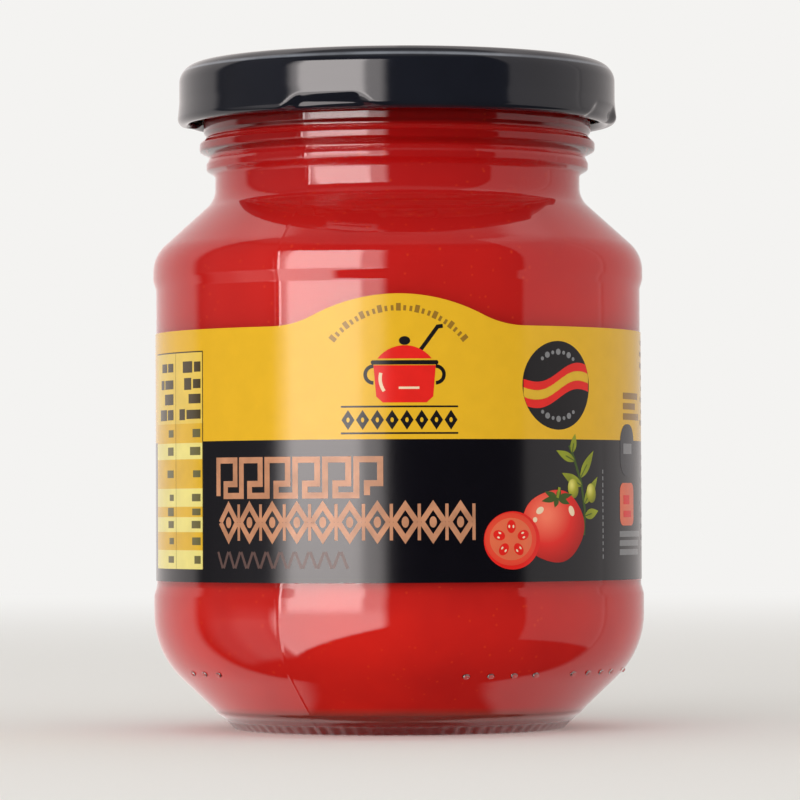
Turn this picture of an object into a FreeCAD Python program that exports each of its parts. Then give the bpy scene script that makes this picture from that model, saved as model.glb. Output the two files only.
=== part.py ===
"""Jar of fried tomato sauce: a glass jar with a twist-off lid, its sealing ring, the sauce and a wrap label.

Millimetres, +Z up. The origin is the centre of the foot ring, and -Y is the front of the label.
Every driving size is a cell of the sheet "Sizes", and every sketch, fillet and placement reads those cells.
Heights in the neck are counted down from the rim and heights in the heel up from the foot, so a taller jar
gets a longer label panel. Widths in the neck follow the lid, so a wider lid still fits its thread.
"""

import FreeCAD
import Part
import Sketcher
import math
import os

from FreeCAD import Vector

SIZES = (
    # Whole jar
    ("total_height", 105.0, "foot ring to the top of the lid"),
    ("body_diameter", 77.4, "over the two rings above and below the label"),
    ("lid_diameter", 69.5, "over the curl of a 66 mm twist-off lid"),
    # Foot, heel and body of the glass, from the foot up
    ("foot_diameter", 51.8, "outside of the flat foot ring"),
    ("foot_width", 2.6, "width of the flat foot ring"),
    ("push_up", 2.8, "rise of the underside at its centre"),
    ("heel_height", 12.2, "corner where the heel's cone would meet the lower ring"),
    ("low_ring_height", 9.0, "lower ring, from that corner"),
    ("panel_recess", 0.45, "depth of the label panel below the rings"),
    ("ring_slope", 1.5, "height over which a ring falls to the panel"),
    ("high_ring_height", 3.9, "upper ring, up to the corner of the shoulder's cone"),
    ("shoulder_rise", 8.9, "cone from that corner to the neck"),
    # Neck and finish of the glass, from the finish down
    ("finish_height", 9.75, "wall that carries the thread ramps, up to the rim"),
    ("groove_height", 0.7, "slope of the groove under the finish"),
    ("groove_inset", 0.5, "groove inside the finish wall"),
    ("high_bead_height", 2.8, "upper, larger bead, up to the groove"),
    ("high_bead_reach", 0.65, "upper bead outside the finish wall"),
    ("low_bead_height", 2.7, "lower, smaller bead, with its draft"),
    ("low_bead_inset", 0.45, "lower bead inside the finish wall"),
    ("bead_draft", 0.8, "height of the slope under a bead"),
    ("neck_height", 4.2, "plain neck between the shoulder's corner and the beads"),
    ("neck_inset", 1.8, "plain neck inside the finish wall"),
    ("rim_inset", 1.3, "edge of the rim's flat land inside the finish wall"),
    ("rim_drop", 1.2, "height over which the rim slopes out to the finish wall"),
    # Rounding of the outside
    ("heel_radius", 14.0, "heel"),
    ("shoulder_radius", 5.6, "shoulder"),
    ("neck_radius", 4.0, "hollow between shoulder and neck"),
    ("ring_radius", 1.6, "edges of the two rings beside the panel"),
    ("foot_radius", 0.9, "outer edge of the foot ring"),
    ("bead_radius", 0.55, "edges of both beads"),
    # Inside of the glass
    ("body_wall", 2.7, "wall behind the label panel"),
    ("neck_wall", 2.4, "wall of the plain neck"),
    ("shoulder_wall", 1.0, "drop of the inner shoulder's corners below the outer ones"),
    ("heel_wall", 1.4, "rise of the inner heel's corner above the outer one"),
    ("base_wall", 4.0, "height of the floor's edge above the foot"),
    ("base_centre_wall", 3.6, "glass under the centre of the floor"),
    ("floor_inset", 0.4, "floor's edge inside the foot ring's outer edge"),
    ("inner_heel_radius", 11.0, "heel"),
    ("inner_floor_radius", 3.0, "edge of the floor"),
    ("inner_shoulder_radius", 3.4, "shoulder"),
    ("inner_neck_radius", 6.0, "foot of the neck"),
    # Thread ramps on the finish
    ("starts", 4, "number of ramps and of lugs"),
    ("thread_reach", 1.7, "ramps outside the finish wall"),
    ("thread_pitch", 8.0, "rise of a ramp for one turn"),
    ("thread_span", 60.0, "angle that one ramp covers"),
    ("thread_lead_in", 8.0, "angle by which a ramp runs past the tight end of its lug"),
    ("thread_root", 2.0, "height of a ramp at the wall"),
    ("thread_crest", 0.9, "height of a ramp at its crest"),
    ("thread_bury", 0.3, "root of a ramp inside the wall that it grows from"),
    # Lid, with heights from its own lower edge
    ("lid_height", 9.7, "whole lid"),
    ("sheet", 0.25, "thickness of the metal sheet"),
    ("skirt_inset", 0.25, "straight part of the skirt inside the curl's outside"),
    ("skirt_flare", 3.4, "height at which the skirt starts to widen to the curl"),
    ("curl_radius", 1.1, "outside of the rolled edge"),
    ("curl_return", 0.5, "height of the sheet's end above the roll's centre"),
    ("lid_edge_radius", 3.0, "outer edge of the top"),
    ("top_ring_width", 8.25, "raised ring that holds the sealing ring"),
    ("panel_drop", 0.9, "drop of the centre panel below the raised ring"),
    ("panel_slope", 1.1, "width of the slope from raised ring to panel"),
    ("button_diameter", 27.0, "safety button"),
    ("button_drop", 0.55, "drop of the button, drawn down by the vacuum"),
    ("button_slope", 1.4, "width of the slope round the button"),
    ("lug_azimuth", 252.0, "angle of the front lug from +X"),
    ("lug_width", 27.0, "angle that one lug covers"),
    ("lug_length", 3.3, "tip of a lug inside the curl's outside"),
    ("lug_bottom", 0.5, "underside of a lug's tip"),
    ("lug_top", 2.0, "face of a lug that pulls on the ramp"),
    ("lug_dent", 0.75, "depth of the dent outside a lug, from the curl's outside"),
    ("dent_height", 2.5, "height of the dent's upright face"),
    ("lug_clearance", 0.05, "gap between a lug and the tight end of its ramp"),
    ("finish_clearance", 0.8, "gap between a lug's tip and the finish wall"),
    # Sealing ring
    ("gasket_height", 1.0, "ring between lid and rim"),
    ("gasket_clearance", 0.3, "gap between the ring and the bends of the lid beside it"),
    # Sauce
    ("headspace", 6.75, "level of the sauce below the rim"),
    # Label
    ("label_film", 0.12, "thickness of the label"),
    ("label_low_gap", 0.8, "bare panel under the label"),
    ("label_high_gap", 7.0, "bare panel over the label's straight edge"),
    ("arch_width", 38.6, "arch from foot to foot, seen from the front"),
    ("arch_height", 4.7, "rise of the arch above the straight edge"),
    ("arch_foot_radius", 14.0, "hollow curve at each foot of the arch"),
    ("overlap_azimuth", 84.0, "angle from +X at which the overlap at the back starts"),
    ("overlap_width", 12.0, "angle of that overlap"),
)

# Two points this close together, in mm, are one
NEAR = 1e-4


class Size:
    """A number from the sheet together with the expression that gives it, so that sums are written once."""

    def __init__(self, value, text):
        self.value = value
        self.text = text

    def _join(self, other, sign, value):
        text = other.text if isinstance(other, Size) else str(other)
        return Size(value, f"({self.text} {sign} {text})")

    def __add__(self, other):
        return self._join(other, "+", self.value + number(other))

    def __sub__(self, other):
        return self._join(other, "-", self.value - number(other))

    def __mul__(self, other):
        return self._join(other, "*", self.value * number(other))

    def __truediv__(self, other):
        return self._join(other, "/", self.value / number(other))


class Sizes:
    """The driving sizes, by name, as Size values that point at the sheet's cells."""

    def __init__(self, doc):
        self._cells = doc.addObject("Spreadsheet::Sheet", "Sizes")
        for row, (name, value, meaning) in enumerate(SIZES, start=1):
            self._cells.set(f"A{row}", name)
            self._cells.set(f"B{row}", str(value))
            self._cells.set(f"C{row}", meaning)
            self._cells.setAlias(f"B{row}", name)
        doc.recompute()

    def __getattr__(self, name):
        return Size(float(self._cells.get(name)), f"Sizes.{name}")


def number(value):
    return value.value if isinstance(value, Size) else value


def bind(thing, name, size):
    """Ties a property of a document object to the sheet."""
    thing.setExpression(name, size.text)


# Sketches


def new_body(doc, name):
    body = doc.addObject("PartDesign::Body", name)
    body.Label = name
    return body


def origin_part(body, role):
    """One of the body's own origin planes or axes."""
    return next(f for f in body.Origin.OriginFeatures if f.Role == role)


def new_sketch(body, name):
    """An empty sketch on the body's own XZ plane: across is the radius and up is the height."""
    sketch = body.newObject("Sketcher::SketchObject", name)
    sketch.AttachmentSupport = [(origin_part(body, "XZ_Plane"), "")]
    sketch.MapMode = "FlatFace"
    return sketch


def constrain(sketch, kind, *places, size=None):
    """Adds a constraint, and ties it to the sheet where it has a size."""
    if size is None:
        sketch.addConstraint(Sketcher.Constraint(kind, *places))
        return
    index = sketch.addConstraint(Sketcher.Constraint(kind, *places, size.value))
    sketch.setExpression(f"Constraints[{index}]", size.text)


def place_point(sketch, edge, end, across, up):
    """Fixes one end of an edge at its distances from the sketch's axes. A plain 0 puts it on the axis."""
    for kind, axis, size in (("DistanceX", -2, across), ("DistanceY", -1, up)):
        if isinstance(size, Size):
            constrain(sketch, kind, -1, 1, edge, end, size=size)
        else:
            constrain(sketch, "PointOnObject", edge, end, axis)


def add_arc(sketch, centre, radius, start, end):
    circle = Part.Circle(Vector(*centre, 0), Vector(0, 0, 1), radius)
    return sketch.addGeometry(Part.ArcOfCircle(circle, start, end))


def add_dome(sketch, start, end):
    """A shallow arc centred on the upright axis. Returns which of its ends lie at start and at end."""
    (r0, z0), (r1, z1) = start, end
    middle = (r1**2 - r0**2 + z1**2 - z0**2) / (2 * (z1 - z0))
    angles = [math.atan2(z - middle, r) for r, z in (start, end)]
    edge = add_arc(sketch, (0, middle), math.dist(start, (0, middle)), min(angles), max(angles))
    constrain(sketch, "PointOnObject", edge, 3, -2)
    return (1, 2) if angles[0] < angles[1] else (2, 1)


def add_roll(sketch, start, end):
    """The lower half of a circle between two level points. Returns which of its ends lie at start and end."""
    centre = ((start[0] + end[0]) / 2, start[1])
    edge = add_arc(sketch, centre, abs(end[0] - start[0]) / 2, math.pi, 2 * math.pi)
    constrain(sketch, "Horizontal", edge, 3, edge, 1)
    return (1, 2) if start[0] < end[0] else (2, 1)


def add_line(sketch, start, end):
    sketch.addGeometry(Part.LineSegment(Vector(*start, 0), Vector(*end, 0)))
    return (1, 2)


def draw_outline(sketch, corners, curves):
    """Draws a closed outline through (across, up) corners. The sides are straight, apart from those whose
    index is in curves, which gives the function that adds them."""
    points = [(number(across), number(up)) for across, up in corners]
    ends = []
    for i, start in enumerate(points):
        add_side = curves.get(i, add_line)
        ends.append(add_side(sketch, start, points[(i + 1) % len(points)]))
    for i, (across, up) in enumerate(corners):
        before = (i - 1) % len(corners)
        constrain(sketch, "Coincident", before, ends[before][1], i, ends[i][0])
        place_point(sketch, i, ends[i][0], across, up)


# Features


def sketch_outline(body, name, corners, curves=None):
    sketch = new_sketch(body, name + "Sketch")
    draw_outline(sketch, corners, curves or {})
    return sketch


def revolve(body, kind, name, corners, curves=None, angle=None):
    """Adds or cuts the outline turned round the upright axis, all round or over an angle to both sides."""
    sketch = sketch_outline(body, name, corners, curves)
    feature = body.newObject("PartDesign::" + kind, name)
    feature.Profile = sketch
    feature.ReferenceAxis = (sketch, ["V_Axis"])
    if angle is None:
        feature.Angle = 360
    else:
        feature.Midplane = True
        bind(feature, "Angle", angle)
    body.Document.recompute()
    return feature


def circle_names(shape, across, up):
    """Names of the shape's level circular edges with a radius and a height."""
    names = []
    for i, edge in enumerate(shape.Edges, start=1):
        if edge.Degenerated or not isinstance(edge.Curve, Part.Circle):
            continue
        off = abs(edge.Curve.Radius - number(across)) + abs(edge.Curve.Center.z - number(up))
        if off < NEAR:
            names.append(f"Edge{i}")
    return names


def round_edges(body, name, radius, *corners):
    """Rounds the turned edges of the body's last feature that come from these corners of its outline."""
    tip = body.Tip
    names = [edge for across, up in corners for edge in circle_names(tip.Shape, across, up)]
    fillet = body.newObject("PartDesign::Fillet", name)
    fillet.Base = (tip, names)
    bind(fillet, "Radius", radius)
    body.Document.recompute()


def repeat_round(body, name, features, count):
    """Repeats features evenly round the upright axis."""
    pattern = body.newObject("PartDesign::PolarPattern", name)
    pattern.Originals = features
    pattern.Axis = (origin_part(body, "Z_Axis"), [""])
    pattern.Angle = 360
    bind(pattern, "Occurrences", count)
    body.Tip = pattern
    body.Document.recompute()


def combine(doc, kind, name, base, tool):
    """A Part boolean of two objects."""
    result = doc.addObject("Part::" + kind, name)
    result.Label = name
    result.Base = base
    result.Tool = tool
    doc.recompute()
    return result


def cylinder(doc, name, diameter, bottom, height, angle=None):
    made = doc.addObject("Part::Cylinder", name)
    bind(made, "Radius", diameter / 2)
    bind(made, "Height", height)
    if isinstance(bottom, Size):
        bind(made, "Placement.Base.z", bottom)
    if angle is not None:
        bind(made, "Angle", angle)
    return made


# Sizes that several sub-parts share


def rim_top(s):
    """Height of the glass rim, under the lid's sheet and the sealing ring."""
    return s.total_height - s.sheet - s.gasket_height


def neck_corner(s):
    """Height of the corner where the shoulder's cone would meet the neck."""
    stack = s.finish_height + s.groove_height + s.high_bead_height + s.low_bead_height + s.neck_height
    return rim_top(s) - stack


def shoulder_corner(s):
    """Height of the corner where the shoulder's cone would meet the upper ring."""
    return neck_corner(s) - s.shoulder_rise


def panel_radius(s):
    return s.body_diameter / 2 - s.panel_recess


def panel_bottom(s):
    return s.heel_height + s.low_ring_height + s.ring_slope


def panel_top(s):
    return shoulder_corner(s) - s.high_ring_height - s.ring_slope


def finish_radius(s):
    """The finish wall lies inside the tips of the lid's lugs."""
    return s.lid_diameter / 2 - s.lug_length - s.finish_clearance


def neck_radius(s):
    return finish_radius(s) - s.neck_inset


# Glass


def make_jar_outside(doc, s):
    """The jar's outer form as one turned solid: foot, heel, label panel between two rings, neck and finish."""
    body = new_body(doc, "JarOutside")
    foot_outer = s.foot_diameter / 2
    ring = s.body_diameter / 2
    finish = finish_radius(s)
    low_bead = finish - s.low_bead_inset
    high_bead = finish + s.high_bead_reach
    low_bead_bottom = neck_corner(s) + s.neck_height
    low_bead_top = low_bead_bottom + s.low_bead_height
    high_bead_top = low_bead_top + s.high_bead_height
    underside = (0, s.push_up)
    foot_edge = (foot_outer, 0)
    heel = (ring, s.heel_height)
    low_ring_top = (ring, s.heel_height + s.low_ring_height)
    high_ring_bottom = (ring, shoulder_corner(s) - s.high_ring_height)
    shoulder = (ring, shoulder_corner(s))
    neck_foot = (neck_radius(s), neck_corner(s))
    low_bead_edge = (low_bead, low_bead_bottom + s.bead_draft)
    high_bead_edge = (high_bead, low_bead_top + s.bead_draft)
    high_bead_crown = (high_bead, high_bead_top - s.bead_draft)
    corners = [
        underside,
        (foot_outer - s.foot_width, 0),
        foot_edge,
        heel,
        low_ring_top,
        (panel_radius(s), panel_bottom(s)),
        (panel_radius(s), panel_top(s)),
        high_ring_bottom,
        shoulder,
        neck_foot,
        (neck_radius(s), low_bead_bottom),
        low_bead_edge,
        (low_bead, low_bead_top),
        high_bead_edge,
        high_bead_crown,
        (finish - s.groove_inset, high_bead_top),
        (finish, high_bead_top + s.groove_height),
        (finish, rim_top(s) - s.rim_drop),
        (finish - s.rim_inset, rim_top(s)),
        (0, rim_top(s)),
    ]
    revolve(body, "Revolution", "JarForm", corners, {corners.index(underside): add_dome})
    round_edges(body, "HeelRound", s.heel_radius, heel)
    round_edges(body, "ShoulderRound", s.shoulder_radius, shoulder)
    round_edges(body, "NeckRound", s.neck_radius, neck_foot)
    round_edges(body, "RingRounds", s.ring_radius, low_ring_top, high_ring_bottom)
    round_edges(body, "FootRound", s.foot_radius, foot_edge)
    round_edges(body, "BeadRounds", s.bead_radius, low_bead_edge, high_bead_edge, high_bead_crown)
    add_thread_ramps(body, s)
    return body


def add_thread_ramps(body, s):
    """Short helical ramps on the finish, whose undersides hold the lid's lugs. The first one starts on +X."""
    lug_face = s.total_height - s.lid_height + s.lug_top
    low_end = lug_face + s.lug_clearance - s.thread_pitch * s.thread_lead_in / 360
    root = finish_radius(s) - s.thread_bury
    crest = finish_radius(s) + s.thread_reach
    section = [
        (root, low_end),
        (crest, low_end),
        (crest, low_end + s.thread_crest),
        (root, low_end + s.thread_root),
    ]
    sketch = sketch_outline(body, "Ramp", section)
    ramp = body.newObject("PartDesign::AdditiveHelix", "Ramp")
    ramp.Profile = sketch
    ramp.ReferenceAxis = (sketch, ["V_Axis"])
    ramp.Mode = "pitch-turns-angle"
    bind(ramp, "Pitch", s.thread_pitch)
    bind(ramp, "Turns", s.thread_span / 360)
    body.Document.recompute()
    repeat_round(body, "Ramps", [ramp], s.starts)


def make_cavity(doc, s):
    """The room inside the glass, open at the rim. It cuts the jar and bounds the sauce."""
    body = new_body(doc, "JarCavity")
    wall = panel_radius(s) - s.body_wall
    bore = neck_radius(s) - s.neck_wall
    floor_centre = (0, s.push_up + s.base_centre_wall)
    floor_edge = (s.foot_diameter / 2 - s.floor_inset, s.base_wall)
    heel = (wall, s.heel_height + s.heel_wall)
    shoulder = (wall, shoulder_corner(s) - s.shoulder_wall)
    neck_foot = (bore, neck_corner(s) - s.shoulder_wall)
    corners = [floor_centre, floor_edge, heel, shoulder, neck_foot, (bore, rim_top(s)), (0, rim_top(s))]
    revolve(body, "Revolution", "CavityForm", corners, {corners.index(floor_centre): add_dome})
    round_edges(body, "InnerHeelRound", s.inner_heel_radius, heel)
    round_edges(body, "InnerFloorRound", s.inner_floor_radius, floor_edge)
    round_edges(body, "InnerShoulderRound", s.inner_shoulder_radius, shoulder)
    round_edges(body, "InnerNeckRound", s.inner_neck_radius, neck_foot)
    return body


def make_glass_jar(doc, s, cavity):
    """The hollow glass, turned so that each of its ramps lies over a lug."""
    jar = combine(doc, "Cut", "glass_jar", make_jar_outside(doc, s), cavity)
    bind(jar, "Placement.Rotation.Angle", s.lug_azimuth - s.lug_width / 2 - s.thread_lead_in)
    return jar


def make_sauce(doc, s, cavity):
    """The sauce fills the cavity up to its level in the neck."""
    filled = cylinder(doc, "FillLevel", s.body_diameter, 0, rim_top(s) - s.headspace)
    return combine(doc, "Common", "sauce", cavity, filled)


# Lid


def make_lid(doc, s):
    """Twist-off lid pressed from one sheet: raised ring, sunk panel, safety button, skirt, curl and lugs."""
    body = new_body(doc, "lid")
    panel = s.lid_height - s.panel_drop
    button = panel - s.button_drop
    skirt = s.lid_diameter / 2 - s.skirt_inset
    ring_inner = skirt - s.top_ring_width
    button_outer = s.button_diameter / 2
    edge = (skirt, s.lid_height)
    inner_edge = (skirt - s.sheet, s.lid_height - s.sheet)
    upper = [
        (0, button),
        (button_outer - s.button_slope, button),
        (button_outer, panel),
        (ring_inner - s.panel_slope, panel),
        (ring_inner, s.lid_height),
        edge,
        (skirt, s.skirt_flare),
    ]
    lower = [
        (skirt - s.sheet, s.skirt_flare),
        inner_edge,
        (ring_inner, s.lid_height - s.sheet),
        (ring_inner - s.panel_slope, panel - s.sheet),
        (button_outer, panel - s.sheet),
        (button_outer - s.button_slope, button - s.sheet),
        (0, button - s.sheet),
    ]
    revolve(body, "Revolution", "LidForm", upper + lower)
    add_curl(body, s, skirt)
    round_edges(body, "LidEdge", s.lid_edge_radius, edge)
    round_edges(body, "LidEdgeInside", s.lid_edge_radius - s.sheet, inner_edge)
    add_lugs(body, s, skirt)
    bind(body, "Placement.Rotation.Angle", s.lug_azimuth)
    bind(body, "Placement.Base.z", s.total_height - s.lid_height)
    return body


def add_curl(body, s, skirt):
    """The rolled lower edge: the skirt widens, turns under and comes back up on the inside."""
    roll = s.lid_diameter / 2 - s.curl_radius
    bore = s.curl_radius - s.sheet
    end = s.curl_radius + s.curl_return
    inner_left = (roll - bore, s.curl_radius)
    outer_left = (roll - s.curl_radius, s.curl_radius)
    outer_right = (roll + s.curl_radius, s.curl_radius)
    inner_right = (roll + bore, s.curl_radius)
    corners = [
        inner_left,
        (roll - bore, end),
        (roll - s.curl_radius, end),
        outer_left,
        outer_right,
        (skirt, s.skirt_flare),
        (skirt - s.sheet, s.skirt_flare),
        inner_right,
    ]
    rolls = {corners.index(outer_left): add_roll, corners.index(inner_right): add_roll}
    revolve(body, "Revolution", "Curl", corners, rolls)


def add_lugs(body, s, skirt):
    """Each lug is the curl pressed flat and inwards, which leaves a dent in the skirt outside it."""
    outside = s.lid_diameter / 2
    tip = outside - s.lug_length
    dent_face = outside - s.lug_dent
    wall_inner = dent_face - s.sheet * 2
    dent_section = [
        (dent_face, s.sheet * -1),
        (outside + s.sheet, s.sheet * -1),
        (outside + s.sheet, s.skirt_flare),
        (skirt, s.skirt_flare),
        (dent_face, s.dent_height),
    ]
    lug_section = [
        (tip, s.lug_bottom),
        (dent_face - s.lug_dent, 0),
        (dent_face, 0),
        (dent_face, s.dent_height),
        (skirt, s.skirt_flare),
        (skirt - s.sheet, s.skirt_flare + s.sheet),
        (skirt - s.sheet * 2, s.skirt_flare),
        (wall_inner, s.dent_height),
        (wall_inner, s.lug_top),
        (tip, s.lug_top),
    ]
    dent = revolve(body, "Groove", "Dent", dent_section, angle=s.lug_width)
    lug = revolve(body, "Revolution", "Lug", lug_section, angle=s.lug_width)
    repeat_round(body, "Lugs", [dent, lug], s.starts)


def make_gasket(doc, s):
    """Flowed-in sealing ring in the lid's raised ring, flat on the glass rim."""
    body = new_body(doc, "lid_gasket")
    bottom = rim_top(s)
    top = s.total_height - s.sheet
    skirt = s.lid_diameter / 2 - s.skirt_inset
    inner = skirt - s.top_ring_width + s.gasket_clearance
    outer = skirt - s.lid_edge_radius - s.gasket_clearance
    revolve(body, "Revolution", "GasketForm", [(inner, bottom), (outer, bottom), (outer, top), (inner, top)])
    return body


# Label


def label_bottom(s):
    return panel_bottom(s) + s.label_low_gap


def label_edge(s):
    """Height of the label's straight upper edge, from which the arch rises."""
    return panel_top(s) - s.label_high_gap


def make_arch_block(doc, s):
    """A block in front of the jar whose front view is the label's arch: a crown between two hollow feet."""
    body = new_body(doc, "ArchBlock")
    sketch = new_sketch(body, "ArchSketch")
    foot = label_edge(s)
    half = s.arch_width / 2
    rise = s.arch_height
    hollow = s.arch_foot_radius
    crown = (half * half + rise * rise) / (rise * 2) - hollow
    lean = math.asin(half.value / (crown.value + hollow.value))
    down = -math.pi / 2
    up = math.pi / 2
    hollow_height = foot.value + hollow.value
    crown_height = foot.value + rise.value - crown.value
    left = add_arc(sketch, (-half.value, hollow_height), hollow.value, down, down + lean)
    top = add_arc(sketch, (0, crown_height), crown.value, up - lean, up + lean)
    right = add_arc(sketch, (half.value, hollow_height), hollow.value, down - lean, down)
    chord = right + 1
    add_line(sketch, (-half.value, foot.value), (half.value, foot.value))
    constrain(sketch, "Tangent", left, 2, top, 2)
    constrain(sketch, "Tangent", top, 1, right, 1)
    constrain(sketch, "Coincident", chord, 1, left, 1)
    constrain(sketch, "Coincident", chord, 2, right, 2)
    constrain(sketch, "Vertical", left, 3, left, 1)
    constrain(sketch, "Vertical", right, 3, right, 2)
    constrain(sketch, "Symmetric", left, 1, right, 2, -2)
    for edge, radius in ((left, hollow), (top, crown), (right, hollow)):
        constrain(sketch, "Radius", edge, size=radius)
    place_point(sketch, right, 2, half, foot)
    pad = body.newObject("PartDesign::Pad", "ArchPad")
    pad.Profile = sketch
    bind(pad, "Length", s.body_diameter)
    doc.recompute()
    return body


def make_sleeve(doc, s, name, layer, bottom, height, angle=None):
    """A sleeve one label film thick, on the panel or on an earlier layer of label."""
    inner = panel_radius(s) * 2 + s.label_film * (2 * layer)
    outside = cylinder(doc, name + "Outside", inner + s.label_film * 2, bottom, height, angle)
    inside = cylinder(doc, name + "Inside", inner, bottom, height)
    return combine(doc, "Cut", name, outside, inside)


def make_label(doc, s):
    """Wrap label with its arch at the front and its glued overlap at the back."""
    height = label_edge(s) - label_bottom(s)
    band = make_sleeve(doc, s, "LabelBand", 0, label_bottom(s), height)
    arch_ring = make_sleeve(doc, s, "ArchRing", 0, label_edge(s), s.arch_height)
    arch = combine(doc, "Common", "Arch", arch_ring, make_arch_block(doc, s))
    overlap = make_sleeve(doc, s, "Overlap", 1, label_bottom(s), height, s.overlap_width)
    bind(overlap, "Placement.Rotation.Angle", s.overlap_azimuth)
    label = doc.addObject("Part::MultiFuse", "label")
    label.Label = "label"
    label.Shapes = [band, arch, overlap]
    label.Refine = True
    doc.recompute()
    return label


# Whole


def check(doc, parts):
    """Stops before anything is written if a feature failed or a sub-part isn't one valid solid."""
    for item in doc.Objects:
        if "Invalid" in item.State or "Error" in item.State:
            raise RuntimeError(f"{item.Label} did not build: {item.State}")
    for part in parts:
        shape = part.Shape
        if shape.isNull() or not shape.isValid() or len(shape.Solids) != 1:
            raise RuntimeError(f"{part.Label} is not one valid solid")
        print(f"{part.Label}: {shape.Volume:.1f} mm3, {len(shape.Faces)} faces")


def main():
    doc = FreeCAD.newDocument("TomatoSauceJar")
    s = Sizes(doc)
    cavity = make_cavity(doc, s)
    parts = [
        make_glass_jar(doc, s, cavity),
        make_sauce(doc, s, cavity),
        make_lid(doc, s),
        make_gasket(doc, s),
        make_label(doc, s),
    ]
    doc.recompute()
    check(doc, parts)
    os.makedirs("parts", exist_ok=True)
    for part in parts:
        part.Shape.exportStep(f"parts/{part.Label}.step")


main()
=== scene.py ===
"""Dresses the jar of fried tomato sauce: glass, sauce, twist-off lid, printed wrap label and studio."""

import math
import random

import bmesh
import bpy
from bpy.props import FloatProperty, FloatVectorProperty, IntProperty, PointerProperty
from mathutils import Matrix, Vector


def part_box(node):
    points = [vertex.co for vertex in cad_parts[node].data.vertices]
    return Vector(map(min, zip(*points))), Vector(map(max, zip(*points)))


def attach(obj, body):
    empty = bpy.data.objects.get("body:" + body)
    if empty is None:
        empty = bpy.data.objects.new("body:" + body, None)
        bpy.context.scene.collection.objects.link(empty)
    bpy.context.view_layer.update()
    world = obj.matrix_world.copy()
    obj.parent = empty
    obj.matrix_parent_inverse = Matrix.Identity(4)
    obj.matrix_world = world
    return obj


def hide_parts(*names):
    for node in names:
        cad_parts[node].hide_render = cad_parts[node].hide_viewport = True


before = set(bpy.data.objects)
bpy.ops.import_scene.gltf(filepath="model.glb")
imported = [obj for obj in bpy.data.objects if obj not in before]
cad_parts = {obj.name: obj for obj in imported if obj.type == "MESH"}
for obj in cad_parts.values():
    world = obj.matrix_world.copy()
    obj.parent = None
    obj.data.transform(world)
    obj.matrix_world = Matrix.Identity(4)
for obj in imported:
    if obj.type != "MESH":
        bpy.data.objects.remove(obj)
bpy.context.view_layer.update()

bl_info = {
    "name": "Sauce jar",
    "version": (1, 0, 0),
    "blender": (4, 5, 0),
    "location": "View3D > Sidebar > Sauce jar",
    "description": "Builds a glass jar of tomato sauce with its lid, its printed label and a studio round it",
    "category": "Add Mesh",
}

BODY = "root"
MM = 0.001
FULL_TURN = 2 * math.pi
FRONT = -math.pi / 2

# Sizes that come from the frame, in metres


def half_width(node):
    low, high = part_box(node)
    return (high[0] - low[0]) / 2


BODY_RADIUS = half_width("glass_jar")
LABEL_RADIUS = half_width("label")
LID_RADIUS = half_width("lid")
GASKET_RADIUS = half_width("lid_gasket")
LID_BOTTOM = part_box("lid")[0][2]
LID_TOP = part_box("lid")[1][2]
RIM_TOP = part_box("lid_gasket")[0][2]
GASKET_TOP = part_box("lid_gasket")[1][2]
SAUCE_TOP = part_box("sauce")[1][2]
LABEL_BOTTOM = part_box("label")[0][2]
LABEL_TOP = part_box("label")[1][2]
# Height of the label's dark field
BAND_HEIGHT = 21.6 * MM


# What a user would change


def length(name, description, value):
    return FloatProperty(name=name, description=description, default=value, unit="LENGTH", precision=5)


def angle(name, description, degrees):
    return FloatProperty(name=name, description=description, default=math.radians(degrees), unit="ROTATION")


def colour(name, description, red, green, blue):
    """A colour property. Its default is written as the screen value, from 0 to 255."""
    value = from_screen((red, green, blue))
    return FloatVectorProperty(
        name=name, description=description, default=value, subtype="COLOR", min=0, max=1
    )


def from_screen(parts):
    """The linear parts of a colour that is written as its screen value."""
    return [linear(part / 255) for part in parts]


def linear(part):
    return part / 12.92 if part <= 0.04045 else ((part + 0.055) / 1.055) ** 2.4


class GlassSettings(bpy.types.PropertyGroup):
    """Glass jar"""

    segments: IntProperty(name="Segments", description="Steps round the jar", default=320, min=48)
    seam_height: length("Seam height", "How far the mould seams stand out", 0.035 * MM)
    seam_angle: angle("Seam angle", "Mould seam, from the front to the right", -28.0)
    mark_pitch: angle("Mark pitch", "Angle from one mould mark on the heel to the next", 6.4)
    tint: colour("Tint", "Colour of the glass", 246, 250, 247)


class SauceSettings(bpy.types.PropertyGroup):
    """Tomato sauce"""

    reach: length("Reach", "How far the sauce reaches into the glass, so that no air shows", 0.08 * MM)
    tint: colour("Colour", "Colour of the sauce", 220, 29, 18)
    # Dark colour: half of it tints the denser patches, and the whole of it is the painted shade towards the
    # top
    dense_and_shade_tint: colour("Dark colour", "Colour of the sauce in its depths", 172, 7, 12)
    # Base colour: painted light, a dull greyish colour that stands for the floor's light seen through the
    # glass foot
    painted_foot_light: colour("Base colour", "Dull colour of the sauce seen through the glass base", 118, 78, 64)


class LidSettings(bpy.types.PropertyGroup):
    """Twist-off lid"""

    dent_depth: length("Dent depth", "How far the skirt is pressed in over a lug", 0.95 * MM)
    dent_height: length("Dent height", "Height of a dent at its middle", 2.7 * MM)
    lacquer: colour("Lacquer", "Colour of the outside", 24, 26, 34)
    # Edge: a painted sheen, the paler line round the top's edge that stands for the edge's reflection
    edge: colour("Edge", "Thinner lacquer where the top's edge is drawn over", 122, 126, 134)
    inside: colour("Inside", "Colour of the inside", 206, 196, 168)
    ring: colour("Sealing ring", "Colour of the sealing ring", 226, 222, 210)


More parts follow.
